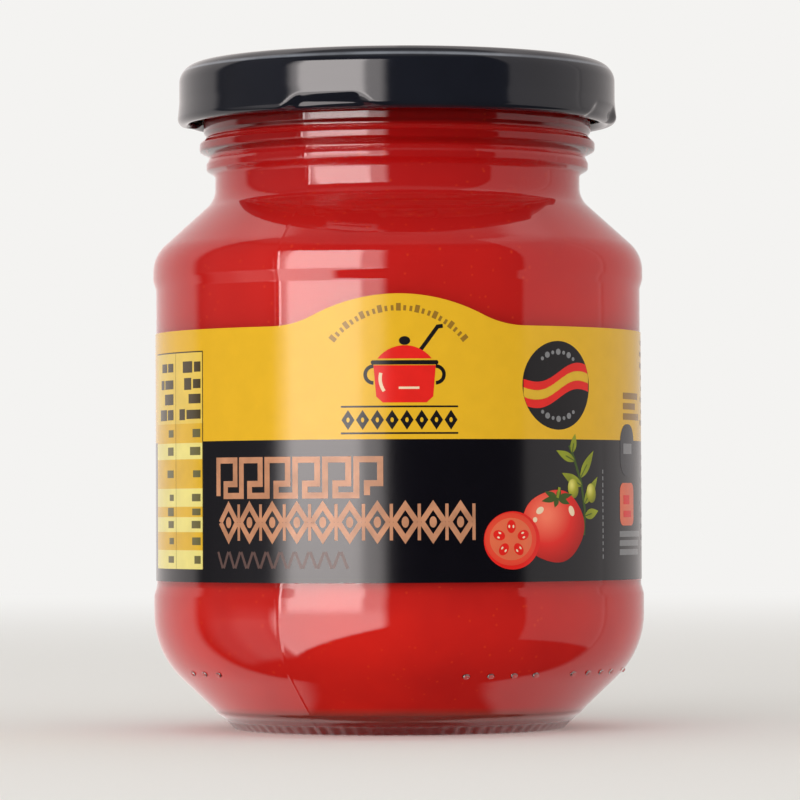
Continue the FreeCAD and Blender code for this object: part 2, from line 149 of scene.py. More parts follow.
class LabelSettings(bpy.types.PropertyGroup):
    """Wrap label"""

    arch_width: length("Arch width", "Arch from foot to foot, seen from the front", 38.6 * MM)
    arch_height: length("Arch height", "Rise of the arch above the straight edge", 4.7 * MM)
    arch_foot: length("Arch foot", "Radius of the hollow at each foot of the arch", 14.0 * MM)
    band_height: length("Band height", "Height of the dark band at the bottom", BAND_HEIGHT)
    yellow: colour("Yellow", "Upper field", 226, 176, 36)
    black: colour("Black", "Lower field", 11, 10, 17)
    copper: colour("Copper", "Ornament on the dark band", 198, 140, 106)
    red: colour("Red", "Emblem, tomatoes and ribbon", 226, 36, 30)
    green: colour("Green", "Leaves", 150, 158, 40)


class StageSettings(bpy.types.PropertyGroup):
    """Studio"""

    distance: length("Camera distance", "From the jar's axis to the camera", 0.737)
    side: length("Camera side", "Camera to the right of the jar's axis", 0.28 * MM)
    eye_height: length("Eye height", "Camera above the floor", 34.5 * MM)
    tilt: angle("Camera tilt", "Upward tilt of the camera", 1.35)
    roll: angle("Camera roll", "Lean of the camera to the right", 0.25)
    floor: colour("Floor", "Colour of the floor", 236, 234, 231)
    backdrop: colour("Backdrop", "Colour behind the jar", 244, 243, 241)


# Mesh making

# Steps of an arc and of a tight one, up to what radius in mm it is tight, and half the angle of a corner that
# is taken as straight
ARC_STEP = math.radians(6)
TIGHT_STEP = math.radians(8)
TIGHT_RADIUS = 2
STRAIGHT_HALF = math.radians(89.5)
# How far to both sides of a fine place there are extra angles, and how many on each side
FINE_SPREAD = math.radians(1.2)
FINE_COUNT = 8
# Steps round the lid, and round the sauce and the sealing ring
LID_STEPS = 480
RING_STEPS = 160


def arc(centre, radius, start, end, step=ARC_STEP):
    """Points on a circle from one angle to another, both ends included."""
    count = max(2, math.ceil(abs(end - start) / step))
    angles = [start + (end - start) * i / count for i in range(count + 1)]
    return [round_point(centre, turn, radius, radius) for turn in angles]


def round_point(centre, turn, wide, tall):
    """A point of a circle or an ellipse round a centre, by its two half widths."""
    return (centre[0] + wide * math.cos(turn), centre[1] + tall * math.sin(turn))


def rounded(corners):
    """An open path through (across, up, radius) corners, each turned with its radius."""
    path = [corners[0][:2]]
    for before, (across, up, radius), after in zip(corners, corners[1:], corners[2:]):
        corner = Vector((across, up))
        back = (Vector(before[:2]) - corner).normalized()
        ahead = (Vector(after[:2]) - corner).normalized()
        half = back.angle(ahead) / 2
        if radius == 0 or half > STRAIGHT_HALF:
            path.append((across, up))
            continue
        centre = corner + (back + ahead).normalized() * (radius / math.sin(half))
        first = corner + back * (radius / math.tan(half)) - centre
        last = corner + ahead * (radius / math.tan(half)) - centre
        start = math.atan2(first.y, first.x)
        turn = math.atan2(first.x * last.y - first.y * last.x, first.dot(last))
        step = ARC_STEP if radius > TIGHT_RADIUS else TIGHT_STEP
        path += arc(centre, radius, start, start + turn, step)
    path.append(corners[-1][:2])
    return path


def subdivided(path, low, high, step):
    """The path with more points, a step apart, where it climbs or falls between two heights."""
    fine = [path[0]]
    for (r0, z0), (r1, z1) in zip(path, path[1:]):
        bottom = max(low, min(z0, z1) + step / 4)
        top = min(high, max(z0, z1) - step / 4)
        levels = [step * i for i in range(math.ceil(bottom / step), math.floor(top / step) + 1)]
        for level in sorted(levels, reverse=z1 < z0):
            fine.append((r0 + (r1 - r0) * (level - z0) / (z1 - z0), level))
        fine.append((r1, z1))
    return fine


def turns(count, fine=()):
    """Angles round the axis, with extra ones close to the angles in fine."""
    angles = {round(FULL_TURN * i / count, 6) for i in range(count)}
    for place in fine:
        for i in range(-FINE_COUNT, FINE_COUNT + 1):
            angles.add(round((place + FINE_SPREAD * i / FINE_COUNT) % FULL_TURN, 6))
    return sorted(angles)


def smooth(value, low, high):
    """0 below low, 1 above high and an even curve between."""
    share = min(1, max(0, (value - low) / (high - low)))
    return share * share * (3 - 2 * share)


def apart(one, other):
    """Signed angle from other to one, by the short way round."""
    return (one - other + math.pi) % FULL_TURN - math.pi


def lathe(name, path, angles, shift=None, inside_from=None):
    """Turns a path in mm round Z. shift gives each point's move outwards from its path index, angle and
    height. Faces from the path's point inside_from on have the second material."""
    mesh = bmesh.new()
    rings = []
    for i, (r, z) in enumerate(path):
        if r < 1e-7:
            rings.append([mesh.verts.new((0, 0, z))])
            continue
        ring = []
        for turn in angles:
            out = r + (shift(i, turn, z) if shift else 0)
            ring.append(mesh.verts.new((out * math.cos(turn), out * math.sin(turn), z)))
        rings.append(ring)
    for index, (lower, upper) in enumerate(zip(rings, rings[1:])):
        for i in range(len(angles)):
            j = (i + 1) % len(angles)
            around = ((lower, i), (lower, j), (upper, j), (upper, i))
            corners = list(dict.fromkeys(ring[step % len(ring)] for ring, step in around))
            if len(corners) > 2:
                face = mesh.faces.new(corners)
                face.material_index = int(inside_from is not None and index >= inside_from)
    bmesh.ops.recalc_face_normals(mesh, faces=mesh.faces)
    for vert in mesh.verts:
        vert.co *= MM
    return finish_mesh(name, mesh)


def finish_mesh(name, mesh):
    """Makes the mesh an object that rides on the jar's body."""
    for face in mesh.faces:
        face.smooth = True
    data = bpy.data.meshes.new(name)
    mesh.to_mesh(data)
    mesh.free()
    piece = bpy.data.objects.new(name, data)
    bpy.context.scene.collection.objects.link(piece)
    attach(piece, BODY)
    return piece


# Shader making


def add_node(tree, kind, inputs=None, **settings):
    """Adds a node with its settings and inputs."""
    node = tree.nodes.new(kind)
    for name, value in settings.items():
        setattr(node, name, value)
    wire(tree, node, inputs or {})
    return node


def wire(tree, node, inputs):
    """Links the inputs that are given a socket, and sets the others to the value that they are given."""
    for name, value in inputs.items():
        if isinstance(value, bpy.types.NodeSocket):
            tree.links.new(value, node.inputs[name])
        else:
            node.inputs[name].default_value = value


def math_node(tree, operation, one, other=0.0, clamp=False):
    node = add_node(tree, "ShaderNodeMath", {0: one, 1: other}, operation=operation, use_clamp=clamp)
    return node.outputs[0]


def map_range(tree, value, low, high, start=0.0, end=1.0, curve="LINEAR"):
    """A value that goes from start to end as another goes from low to high."""
    limits = {0: value, 1: low, 2: high, 3: start, 4: end}
    return add_node(tree, "ShaderNodeMapRange", limits, interpolation_type=curve).outputs[0]


def mix_colour(tree, share, one, other):
    node = add_node(tree, "ShaderNodeMix", {0: share, 6: one, 7: other}, data_type="RGBA")
    return node.outputs[2]


def mix_shaders(tree, share, one, other):
    return add_node(tree, "ShaderNodeMixShader", {0: share, 1: one, 2: other}).outputs[0]


def add_place(tree):
    return add_node(tree, "ShaderNodeTexCoord").outputs["Object"]


def parts_of(tree, vector):
    return add_node(tree, "ShaderNodeSeparateXYZ", {0: vector}).outputs


def seen_and_glossy(tree):
    """1 for rays from the camera or through the glass, and 1 for rays from a gloss."""
    path = add_node(tree, "ShaderNodeLightPath").outputs
    seen = math_node(tree, "MAXIMUM", path["Is Camera Ray"], path["Is Transmission Ray"])
    return seen, path["Is Glossy Ray"]


def new_group(name, inputs, outputs):
    """An empty shader group with its sockets. Returns its tree, and what its nodes get and give back."""
    tree = bpy.data.node_groups.new(name, "ShaderNodeTree")
    for sockets, side in ((inputs, "INPUT"), (outputs, "OUTPUT")):
        for label, socket in sockets.items():
            tree.interface.new_socket(label, in_out=side, socket_type=socket)
    return tree, tree.nodes.new("NodeGroupInput").outputs, tree.nodes.new("NodeGroupOutput").inputs


def surface_group():
    """Unevenness of a hard, glossy surface: soft waves and fine dust marks in roughness and normal."""
    name = "Uneven gloss"
    if name in bpy.data.node_groups:
        return bpy.data.node_groups[name]
    inputs = dict.fromkeys(("Wave size", "Wave height", "Roughness", "Spread"), "NodeSocketFloat")
    outputs = {"Roughness": "NodeSocketFloat", "Normal": "NodeSocketVector"}
    tree, given, result = new_group(name, inputs, outputs)
    place = add_place(tree)
    scale = math_node(tree, "DIVIDE", 1.0, given["Wave size"])
    waves = add_node(tree, "ShaderNodeTexNoise", {"Vector": place, "Scale": scale, "Detail": 2.0})
    fine_scale = math_node(tree, "MULTIPLY", scale, 9.0)
    fine = add_node(tree, "ShaderNodeTexNoise", {"Vector": place, "Scale": fine_scale, "Detail": 3.0})
    centred = math_node(tree, "SUBTRACT", fine.outputs["Fac"], 0.5)
    spread = math_node(tree, "MULTIPLY", centred, given["Spread"])
    rough = math_node(tree, "ADD", spread, given["Roughness"], clamp=True)
    relief = {"Height": waves.outputs["Fac"], "Distance": given["Wave height"]}
    bump = add_node(tree, "ShaderNodeBump", relief)
    tree.links.new(rough, result["Roughness"])
    tree.links.new(bump.outputs["Normal"], result["Normal"])
    return tree


def tone_group():
    """Two tones of one colour in soft patches."""
    name = "Two tones"
    if name in bpy.data.node_groups:
        return bpy.data.node_groups[name]
    inputs = {"Tone": "NodeSocketColor", "Other tone": "NodeSocketColor", "Patch size": "NodeSocketFloat"}
    tree, given, result = new_group(name, inputs, {"Color": "NodeSocketColor"})
    place = add_place(tree)
    scale = math_node(tree, "DIVIDE", 1.0, given["Patch size"])
    noise = add_node(tree, "ShaderNodeTexNoise", {"Vector": place, "Scale": scale, "Detail": 4.0})
    share = map_range(tree, noise.outputs["Fac"], 0.35, 0.65)
    tree.links.new(mix_colour(tree, share, given["Tone"], given["Other tone"]), result["Color"])
    return tree


def place_group(tree, group, inputs):
    return add_node(tree, "ShaderNodeGroup", inputs, node_tree=group)


def new_material(name):
    """A material with only its Principled shader and output. Returns it, its tree and the shader."""
    material = bpy.data.materials.new(name)
    material.use_nodes = True
    tree = material.node_tree
    return material, tree, tree.nodes["Principled BSDF"]


def gloss(tree, wave_size, wave_height, roughness, spread):
    """Shader inputs of an uneven gloss, from its waves, its roughness and how far the roughness varies."""
    inputs = {"Wave size": wave_size, "Wave height": wave_height, "Roughness": roughness, "Spread": spread}
    group = place_group(tree, surface_group(), inputs)
    return {"Roughness": group.outputs["Roughness"], "Normal": group.outputs["Normal"]}


def tones(tree, tone, share, patch_size):
    """A colour and a slightly darker one in patches."""
    return patches(tree, tone, [part * (1 - share) for part in tone], patch_size)


def patches(tree, tone, other, patch_size):
    inputs = {"Tone": (*tone, 1), "Other tone": (*other, 1), "Patch size": patch_size}
    return place_group(tree, tone_group(), inputs).outputs["Color"]


def plain_material(name, tone, share, patch_size, waves, shine=0.5):
    """One colour in close tones, with an uneven gloss. waves holds what gloss needs."""
    material, tree, shader = new_material(name)
    wire(tree, shader, {
        **gloss(tree, *waves),
        "Base Color": tones(tree, tone, share, patch_size),
        "Specular IOR Level": shine,
    })
    return material


# Glass jar

# Sizes of the glass in mm. Corners are a radius, a height and a rounding.
FOOT_RADIUS = 25.9
HEEL = ((0.0, 2.8, 0), (9.0, 2.55, 60), (FOOT_RADIUS - 3.4, 0.55, 2.0), (FOOT_RADIUS - 2.6, 0.0, 0.5))
FOOT_EDGE = (FOOT_RADIUS, 0.0, 0.9)
HEEL_CORNER = (12.2, 14.0)
# Guard rings below and above the label's panel: edges next to it, slope, roundings outside and inside
RING_TOP = 21.2
HIGH_RING = 70.75
RING_SLOPE = 1.5
RING_ROUND = 1.6
RING_HOLLOW = 1.2
PANEL_INSET = 0.45
SHOULDER = (74.65, 5.6)
NECK_FOOT = (83.55, 4.0)
# The finish wall lies inside the lid's curl, and the neck and the bore inside that
FINISH_RADIUS = LID_RADIUS / MM - 4.1
NECK_RADIUS = FINISH_RADIUS - 1.8
BORE = NECK_RADIUS - 2.4
# Beads and finish from the neck to the rim: distance outside the finish wall, depth below the rim, rounding
FINISH = (
    (-1.8, 16.35, 0.8),
    (-0.45, 15.6, 0.5),
    (-0.4, 14.65, 0.5),
    (-1.0, 13.45, 0.35),
    (0.65, 12.6, 0.6),
    (0.65, 11.35, 0.6),
    (-0.5, 10.35, 0.5),
    (0.0, 9.6, 0.4),
    (0.0, 1.35, 0.9),
    (-1.1, 0.0, 0.9),
)
LIP = 0.7
# Corners of the inside, from the neck down
INNER_NECK = (82.5, 6.0)
INNER_SHOULDER = (73.6, 3.4)
INNER_HEEL = (13.6, 11.0)
FLOOR_EDGE = (FOOT_RADIUS - 0.4, 4.0, 3.0)
FLOOR_MIDDLE = 6.4
BODY_WALL = 2.7
# Thread ramps: angle where one starts and how far it goes round, in degrees, its rise for a full turn, the
# level of its low end, its height, how far it stands out, and how many there are
RAMP_FIRST = 230.5
RAMP_SPAN = 60
RAMP_PITCH = 8.0
RAMP_LOW_END = 97.2
RAMP_HEIGHT = 1.5
RAMP_REACH = 1.7
RAMP_COUNT = 4
# A ramp's ends run out over so many degrees, and its lower and upper flank over so many mm
RAMP_ENDS = (4, 6)
RAMP_FLANKS = (0.3, 0.7)
RAMP_BAND = (RAMP_LOW_END - 0.5, RAMP_LOW_END + 3.5)
# Ribs pressed into the foot's edge, and the low ring that stands out above them: its two heights and reach
RIB_COUNT = 80
RIB_DEPTH = 0.24
RIB_TOP = 1.6
FOOT_RING = (1.9, 3.3, 0.2)
# Radius where the foot turns up into the wall, steps of the section across the ribs and across the ramps, and
# the angle over which a mould seam dies away
WALL_START = FOOT_RADIUS - 0.5
RIB_STEP = 0.16
RAMP_STEP = 0.22
SEAM_SPREAD = math.radians(0.35)


def cavity_corners(reach):
    """The inside of the glass from the bore down to the floor's middle, moved outwards by reach."""
    wall = BODY_RADIUS / MM - PANEL_INSET - BODY_WALL + reach
    return [
        (BORE + reach, INNER_NECK[0] - reach, INNER_NECK[1]),
        (wall, *INNER_SHOULDER),
        (wall, *INNER_HEEL),
        (FLOOR_EDGE[0] + reach / 2, FLOOR_EDGE[1] - reach, FLOOR_EDGE[2]),
        (12.0, FLOOR_MIDDLE - 0.5 - reach, 40),
        (0.0, FLOOR_MIDDLE - reach, 0),
    ]


def outside_corners():
    """The outside of the glass from the middle of the underside to the rim."""
    ring = BODY_RADIUS / MM
    panel = ring - PANEL_INSET
    rim = RIM_TOP / MM
    body = list(HEEL) + [
        FOOT_EDGE,
        (ring, *HEEL_CORNER),
        (ring, RING_TOP, RING_ROUND),
        (panel, RING_TOP + RING_SLOPE, RING_HOLLOW),
        (panel, HIGH_RING - RING_SLOPE, RING_HOLLOW),
        (ring, HIGH_RING, RING_ROUND),
        (ring, *SHOULDER),
        (NECK_RADIUS, *NECK_FOOT),
    ]
    return body + [(FINISH_RADIUS + out, rim - depth, turn) for out, depth, turn in FINISH]


def glass_path():
    """The whole section of the glass, from the middle of the underside to the middle of the floor."""
    rim = RIM_TOP / MM
    lip = [(BORE + LIP, rim, LIP), (BORE, rim - LIP, LIP)]
    return rounded(outside_corners() + lip + cavity_corners(0.0))


def ramp_lift(turn, height):
    """How far the thread ramps stand out, in mm, at an angle and a height in mm."""
    degrees = math.degrees(turn)
    lift = 0
    for i in range(RAMP_COUNT):
        along = (degrees - RAMP_FIRST - 360 * i / RAMP_COUNT) % 360
        if along > RAMP_SPAN:
            continue
        ends = smooth(along, 0, RAMP_ENDS[0]) * (1 - smooth(along, RAMP_SPAN - RAMP_ENDS[1], RAMP_SPAN))
        up = height - (RAMP_LOW_END + RAMP_PITCH * along / 360)
        flanks = (smooth(up, 0, RAMP_FLANKS[0]), 1 - smooth(up, RAMP_HEIGHT - RAMP_FLANKS[1], RAMP_HEIGHT))
        lift = max(lift, ends * flanks[0] * flanks[1])
    return lift * RAMP_REACH


def make_glass(settings):
    path = glass_path()
    rim = next(i for i, (r, z) in enumerate(path) if z > RIM_TOP / MM - 0.01)
    foot = next(i for i, (r, z) in enumerate(path) if r > WALL_START)
    wall = subdivided(path[foot:rim], 0, FOOT_RING[1], RIB_STEP)
    wall = subdivided(wall, *RAMP_BAND, RAMP_STEP)
    path = path[:foot] + wall + path[rim:]
    rim = foot + len(wall)
    seams = [(FRONT + settings.seam_angle + half * math.pi) % FULL_TURN for half in (0, 1)]
    seam_height = settings.seam_height / MM

    def shift(index, turn, height):
        if index >= rim or path[index][0] < WALL_START:
            return 0
        away = min(abs(apart(turn, seam)) for seam in seams)
        seam = seam_height * math.exp(-((away / SEAM_SPREAD) ** 2)) * smooth(height, 0, 1)
        groove = (1 - math.cos(RIB_COUNT * turn)) / 2
        rib = RIB_DEPTH * groove * (1 - smooth(height, RIB_TOP - 0.5, RIB_TOP))
        low, high, reach = FOOT_RING
        ring = reach * math.sin(math.pi * min(1, max(0, (height - low) / (high - low)))) ** 2
        return seam - rib + ring + ramp_lift(turn, height)

    piece = lathe("jar_glass", path, turns(settings.segments, seams), shift)
    piece.data.materials.append(glass_material(settings))
    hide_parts("glass_jar")


# Row of raised marks on the heel: height, size, the angles from the front that it covers, and after how many
# marks one is left out
MARK_HEIGHT = 9.3
MARK_SIZE = (1.3, 0.95, 0.4)
MARK_SPREADS = ((16.5, 81.0), (-64.0, -50.0), (150.0, 205.0))
MARK_SKIP = 5
# Points round a mark, and the levels of its rings as angles on a dome
MARK_SIDES = 14
MARK_LEVELS = (-20, 15, 45, 70)


def point_on(path, height):
    """The path's radius at a height, and how far it leans outwards there."""
    for (r0, z0), (r1, z1) in zip(path, path[1:]):
        if min(z0, z1) <= height <= max(z0, z1) and z0 != z1:
            share = (height - z0) / (z1 - z0)
            return r0 + (r1 - r0) * share, math.atan2(r1 - r0, z1 - z0)


def make_marks(settings):
    """Small raised marks in a row on the heel, with a gap here and there."""
    radius, lean = point_on(rounded(outside_corners()), MARK_HEIGHT)
    mesh = bmesh.new()
    index = 0
    for start, end in MARK_SPREADS:
        turn = math.radians(start)
        while turn < math.radians(end):
            index += 1
            if index % MARK_SKIP:
                add_mark(mesh, FRONT + turn, radius, lean)
            turn += settings.mark_pitch
    piece = finish_mesh("heel_marks", mesh)
    piece.data.materials.append(bpy.data.materials["Jar glass"])


def add_mark(mesh, turn, radius, lean):
    """A low dome on the heel, closed below just inside the glass."""
    out = Vector((math.cos(turn), math.sin(turn), 0))
    along = Vector((-out.y, out.x, 0))
    up = out * math.sin(lean) + Vector((0, 0, math.cos(lean)))
    normal = out * math.cos(lean) - Vector((0, 0, math.sin(lean)))
    centre = out * radius + Vector((0, 0, MARK_HEIGHT))
    wide, tall, deep = MARK_SIZE
    rings = []
    for level in MARK_LEVELS:
        height = math.radians(level)
        ring = []
        for i in range(MARK_SIDES):
            side = FULL_TURN * i / MARK_SIDES
            flat = along * (wide / 2 * math.cos(side)) + up * (tall / 2 * math.sin(side))
            place = centre + flat * math.cos(height) + normal * (deep * math.sin(height))
            ring.append(mesh.verts.new(place * MM))
        rings.append(ring)
    for lower, upper in zip(rings, rings[1:]):
        for i in range(MARK_SIDES):
            j = (i + 1) % MARK_SIDES
            mesh.faces.new((lower[i], lower[j], upper[j], upper[i]))
    mesh.faces.new(rings[0][::-1])
    mesh.faces.new(rings[-1])


# How strongly the glass bends light, the tint of light that goes straight through, the heights between which
# the foot turns matt, and how matt
GLASS_IOR = 1.52
CLEAR_TINT = (0.94, 0.96, 0.95)
MATT_HEIGHTS = (2.4 * MM, 1.2 * MM)
MATT_ROUGHNESS = 0.3


def glass_material(settings):
    """Clear glass with soft mould waves and a matt foot. Light passes straight through to what it holds."""
    material, tree, shader = new_material("Jar glass")
    surface = gloss(tree, 16 * MM, 0.05 * MM, 0.015, 0.02)
    height = parts_of(tree, add_place(tree))[2]
    matt = map_range(tree, height, *MATT_HEIGHTS, 0.0, MATT_ROUGHNESS)
    wire(tree, shader, {
        "Base Color": (*settings.tint, 1),
        "Roughness": math_node(tree, "ADD", surface["Roughness"], matt, clamp=True),
        "Normal": surface["Normal"],
        "IOR": GLASS_IOR,
        "Transmission Weight": 1.0,
    })
    clear = add_node(tree, "ShaderNodeBsdfTransparent", {"Color": (*CLEAR_TINT, 1)})
    path = add_node(tree, "ShaderNodeLightPath").outputs
    straight = math_node(tree, "MAXIMUM", path["Is Shadow Ray"], path["Is Diffuse Ray"])
    mixed = mix_shaders(tree, straight, shader.outputs[0], clear.outputs[0])
    tree.links.new(mixed, tree.nodes["Material Output"].inputs["Surface"])
    return material


# Sauce

# Heights between which the sauce is painted darker towards the top as painted shade, how late it does so, and
# how far
TOP_SHADE_HEIGHTS = (20 * MM, 86 * MM)
TOP_SHADE_POWER = 2.5
TOP_SHADE_SHARE = 0.75
# Heights between which it takes the dull greyish colour of the base, painted light that stands for the
# floor's light seen through the glass foot
FOOT_LIGHT_HEIGHTS = (5.4 * MM, 3.2 * MM)
# Specks: their spacing, the share of it where one starts and is full, and how strong they are
SPECK_PITCH = 1.6 * MM
SPECK_EDGE = (0.16, 0.08)
SPECK_SHARE = 0.35


def make_sauce(settings):
    """The sauce up to its level, with a surface that sags a little in the middle."""
    reach = settings.reach / MM
    level = SAUCE_TOP / MM
    top = [(0.0, level - 0.35, 0), (BORE - 2.0, level - 0.3, 3.0), (BORE + reach, level, 0)]
    path = rounded(top + cavity_corners(reach))
    piece = lathe("tomato_sauce", path, turns(RING_STEPS))
    piece.data.materials.append(sauce_material(settings))
    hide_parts("sauce")


def sauce_material(settings):
    """Thick sauce: red with denser patches, painted shade that darkens it upwards, a dull greyish colour
    painted at the base for the floor's light seen through the foot, and specks of skin and oil.
    """
    material, tree, shader = new_material("Tomato sauce")
    denser = [(light + dark) / 2 for light, dark in zip(settings.tint, settings.dense_and_shade_tint)]
    streaks = patches(tree, settings.tint, denser, 22 * MM)
    place = add_place(tree)
    height = parts_of(tree, place)[2]
    # Painted shade: the sauce darkens towards the top
    climb = math_node(tree, "POWER", map_range(tree, height, *TOP_SHADE_HEIGHTS), TOP_SHADE_POWER)
    top_shade = math_node(tree, "MULTIPLY", climb, TOP_SHADE_SHARE)
    # Painted light: low down the sauce turns dull greyish, for the floor's light seen through the glass foot
    base = map_range(tree, height, *FOOT_LIGHT_HEIGHTS)
    deep = mix_colour(tree, top_shade, streaks, (*settings.dense_and_shade_tint, 1))
    deep = mix_colour(tree, base, deep, (*settings.painted_foot_light, 1))
    cells = add_node(tree, "ShaderNodeTexVoronoi", {"Vector": place, "Scale": 1 / SPECK_PITCH})
    specks = map_range(tree, cells.outputs["Distance"], *SPECK_EDGE)
    red, green, blue = settings.tint
    speck_tint = (red * 1.15, green * 4 + 0.02, blue * 1.5, 1)
    share = math_node(tree, "MULTIPLY", specks, SPECK_SHARE)
    wire(tree, shader, {
        **gloss(tree, 3 * MM, 0.02 * MM, 0.42, 0.12),
        "Base Color": mix_colour(tree, share, deep, speck_tint),
        "Specular IOR Level": 0.12,
    })
    return material


# Lid

# Section of the lid, in mm: distance inside the curl's outside, or a radius for the panel, and heights
SKIRT_INSET = 0.25
SHEET = 0.25
CURL = 1.1
CURL_RETURN = 0.55
TOP_ROUND = 3.0
PANEL_DROP = 0.9
PANEL_RADIUS = LID_RADIUS / MM - 8.5
PANEL_SLOPE = 1.1
BUTTON_RADIUS = 13.5
BUTTON_SLOPE = 1.5
BUTTON_DROP = 0.55
BUTTON_DOME = 0.12
SKIRT_FLARE = 3.6
# Step round the curl
CURL_STEP = math.radians(12)
# The painted sheen round the top's edge, a paler line that stands for the edge's reflection: depths of its
# lower and upper side below the top, and from and to what distance above each side it fades in and out
SHEEN_LINE = (1.55, 1.08)
SHEEN_RISE = (-0.08, 0.12)
SHEEN_FALL = (0.1, -0.2)
# Pressed-in lugs: how many, the angle of one, and half of what each spans
LUG_COUNT = 4
LUG_ANGLE = math.radians(252)
LUG_HALF = math.radians(15.6)
# How steeply a dent runs in below its upper line, the rounding of that line, and the share of half a dent
# from which the line falls
DENT_SLOPE = 0.75
DENT_ROUND = 0.35
DENT_FLAT = 0.45
# Heights above the lid's lower edge that the dents can take up, and the section's steps there
DENT_BAND = (0.9, 4.2)
DENT_STEP = 0.2


def lid_path():
    """The lid's sheet in mm, in two parts: from the middle of the top down the skirt and round the curl, and
    back up inside from there."""
    outside = LID_RADIUS / MM
    skirt = outside - SKIRT_INSET
    top = LID_TOP / MM
    base = LID_BOTTOM / MM
    panel = top - PANEL_DROP
    button = panel - BUTTON_DROP
    roll = outside - CURL
    upper = [
        (0.0, button + BUTTON_DOME, 0),
        (BUTTON_RADIUS - BUTTON_SLOPE, button, 3.0),
        (BUTTON_RADIUS, panel, 2.0),
        (PANEL_RADIUS - PANEL_SLOPE, panel, 0.8),
        (PANEL_RADIUS, top, 0.8),
        (skirt, top, TOP_ROUND),
        (skirt, base + SKIRT_FLARE, 9.0),
        (outside, base + CURL, 0),
    ]
    lower = [
        (outside - SHEET, base + CURL, 0),
        (skirt - SHEET, base + SKIRT_FLARE, 9.0),
        (skirt - SHEET, top - SHEET, TOP_ROUND - SHEET),
        (PANEL_RADIUS, top - SHEET, 0.5),
        (PANEL_RADIUS - PANEL_SLOPE, panel - SHEET, 0.8),
        (BUTTON_RADIUS, panel - SHEET, 2.0),
        (BUTTON_RADIUS - BUTTON_SLOPE, button - SHEET, 3.0),
        (0.0, button + BUTTON_DOME - SHEET, 0),
    ]
    outer_curl = arc((roll, base + CURL), CURL, 0, -math.pi, CURL_STEP)
    inner_curl = arc((roll, base + CURL), CURL - SHEET, -math.pi, 0, CURL_STEP)
    end = base + CURL + CURL_RETURN
    hook = [(roll - CURL, end), (roll - CURL + SHEET, end)]
    return rounded(upper)[:-1] + outer_curl + hook + inner_curl[:-1], rounded(lower)


def lug_press(turn, up, settings):
    """How far the skirt is pressed in at an angle and a height above the lid's lower edge, in mm."""
    away = min(abs(apart(turn, LUG_ANGLE + FULL_TURN * i / LUG_COUNT)) for i in range(LUG_COUNT))
    share = away / LUG_HALF
    if share >= 1:
        return 0
    arch = settings.dent_height / MM * (1 - smooth(share, DENT_FLAT, 1.0))
    below = max(0, arch - up)
    slope = math.sqrt(below * below + DENT_ROUND**2) - DENT_ROUND
    return min(settings.dent_depth / MM, slope * DENT_SLOPE)


def make_lid(settings):
    base = LID_BOTTOM / MM
    low, high = (base + height for height in DENT_BAND)
    outside, inside = (subdivided(part, low, high, DENT_STEP) for part in lid_path())
    path = outside + inside
    skirt = LID_RADIUS / MM - 4 * CURL

    def shift(index, turn, height):
        return -lug_press(turn, height - base, settings) if path[index][0] > skirt else 0

    piece = lathe("twist_off_lid", path, turns(LID_STEPS), shift, len(outside))
    piece.data.materials.append(lacquer_material(settings))
    lining = plain_material("Lid lining", settings.inside, 0.1, 6 * MM, (3 * MM, 0.004 * MM, 0.3, 0.1))
    piece.data.materials.append(lining)
    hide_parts("lid")


def lacquer_material(settings):
    """Black gloss lacquer on tinplate, with a faint orange peel and a painted sheen, a paler line round the
    top's edge that stands for its reflection.
    """
    material, tree, shader = new_material("Black lacquer")
    place = add_place(tree)
    across, along, height = parts_of(tree, place)
    squares = [math_node(tree, "POWER", part, 2.0) for part in (across, along)]
    top_edge = (LID_RADIUS - TOP_ROUND * MM) ** 2
    outside = math_node(tree, "GREATER_THAN", math_node(tree, "ADD", *squares), top_edge)
    # Painted sheen: a paler line round the outside of the top's edge, in place of the rounded edge's
    # reflection
    low, high = (LID_TOP - depth * MM for depth in SHEEN_LINE)
    rise = map_range(tree, height, *(low + fade * MM for fade in SHEEN_RISE))
    fall = map_range(tree, height, *(high + fade * MM for fade in SHEEN_FALL))
    # Noise that breaks the painted sheen into patches
    thin = add_node(tree, "ShaderNodeTexNoise", {"Vector": place, "Scale": 1 / (9 * MM), "Detail": 3.0})
    patchy = map_range(tree, thin.outputs["Fac"], 0.3, 0.6, 0.55, 1.0)
    band = math_node(tree, "MULTIPLY", math_node(tree, "MULTIPLY", rise, fall), outside)
    line = math_node(tree, "MULTIPLY", band, patchy)
    base = tones(tree, settings.lacquer, 0.15, 8 * MM)
    wire(tree, shader, {
        **gloss(tree, 2.2 * MM, 0.0035 * MM, 0.09, 0.08),
        "Base Color": mix_colour(tree, line, base, (*settings.edge, 1)),
        "IOR": 1.5,
    })
    return material


def make_gasket(settings):
    """The sealing ring, with the groove that the rim presses into it."""
    low = RIM_TOP / MM
    high = GASKET_TOP / MM
    outer = GASKET_RADIUS / MM
    inner = PANEL_RADIUS + 0.3
    section = [
        (inner, high, 0),
        (inner, low + 0.1, 0.3),
        (BORE + 0.6, low, 0.2),
        (outer - 2.2, low, 0.3),
        (outer - 1.0, low + 0.05, 0.3),
        (outer, low + 0.25, 0.3),
        (outer, high, 0),
    ]
    path = rounded(section)
    piece = lathe("sealing_ring", path + [path[0]], turns(RING_STEPS))
    compound = plain_material("Sealing compound", settings.ring, 0.08, 5 * MM, (2 * MM, 0.01 * MM, 0.42, 0.1))
    piece.data.materials.append(compound)
    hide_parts("lid_gasket")


# Label sleeve

FILM = 0.12 * MM
GLUE_LINE = 0.02 * MM
INK_STEP = 0.012 * MM
# The glued end: first and last angle, and its columns
OVERLAP_START = math.radians(84)
OVERLAP_END = math.radians(96)
OVERLAP_COUNT = 12
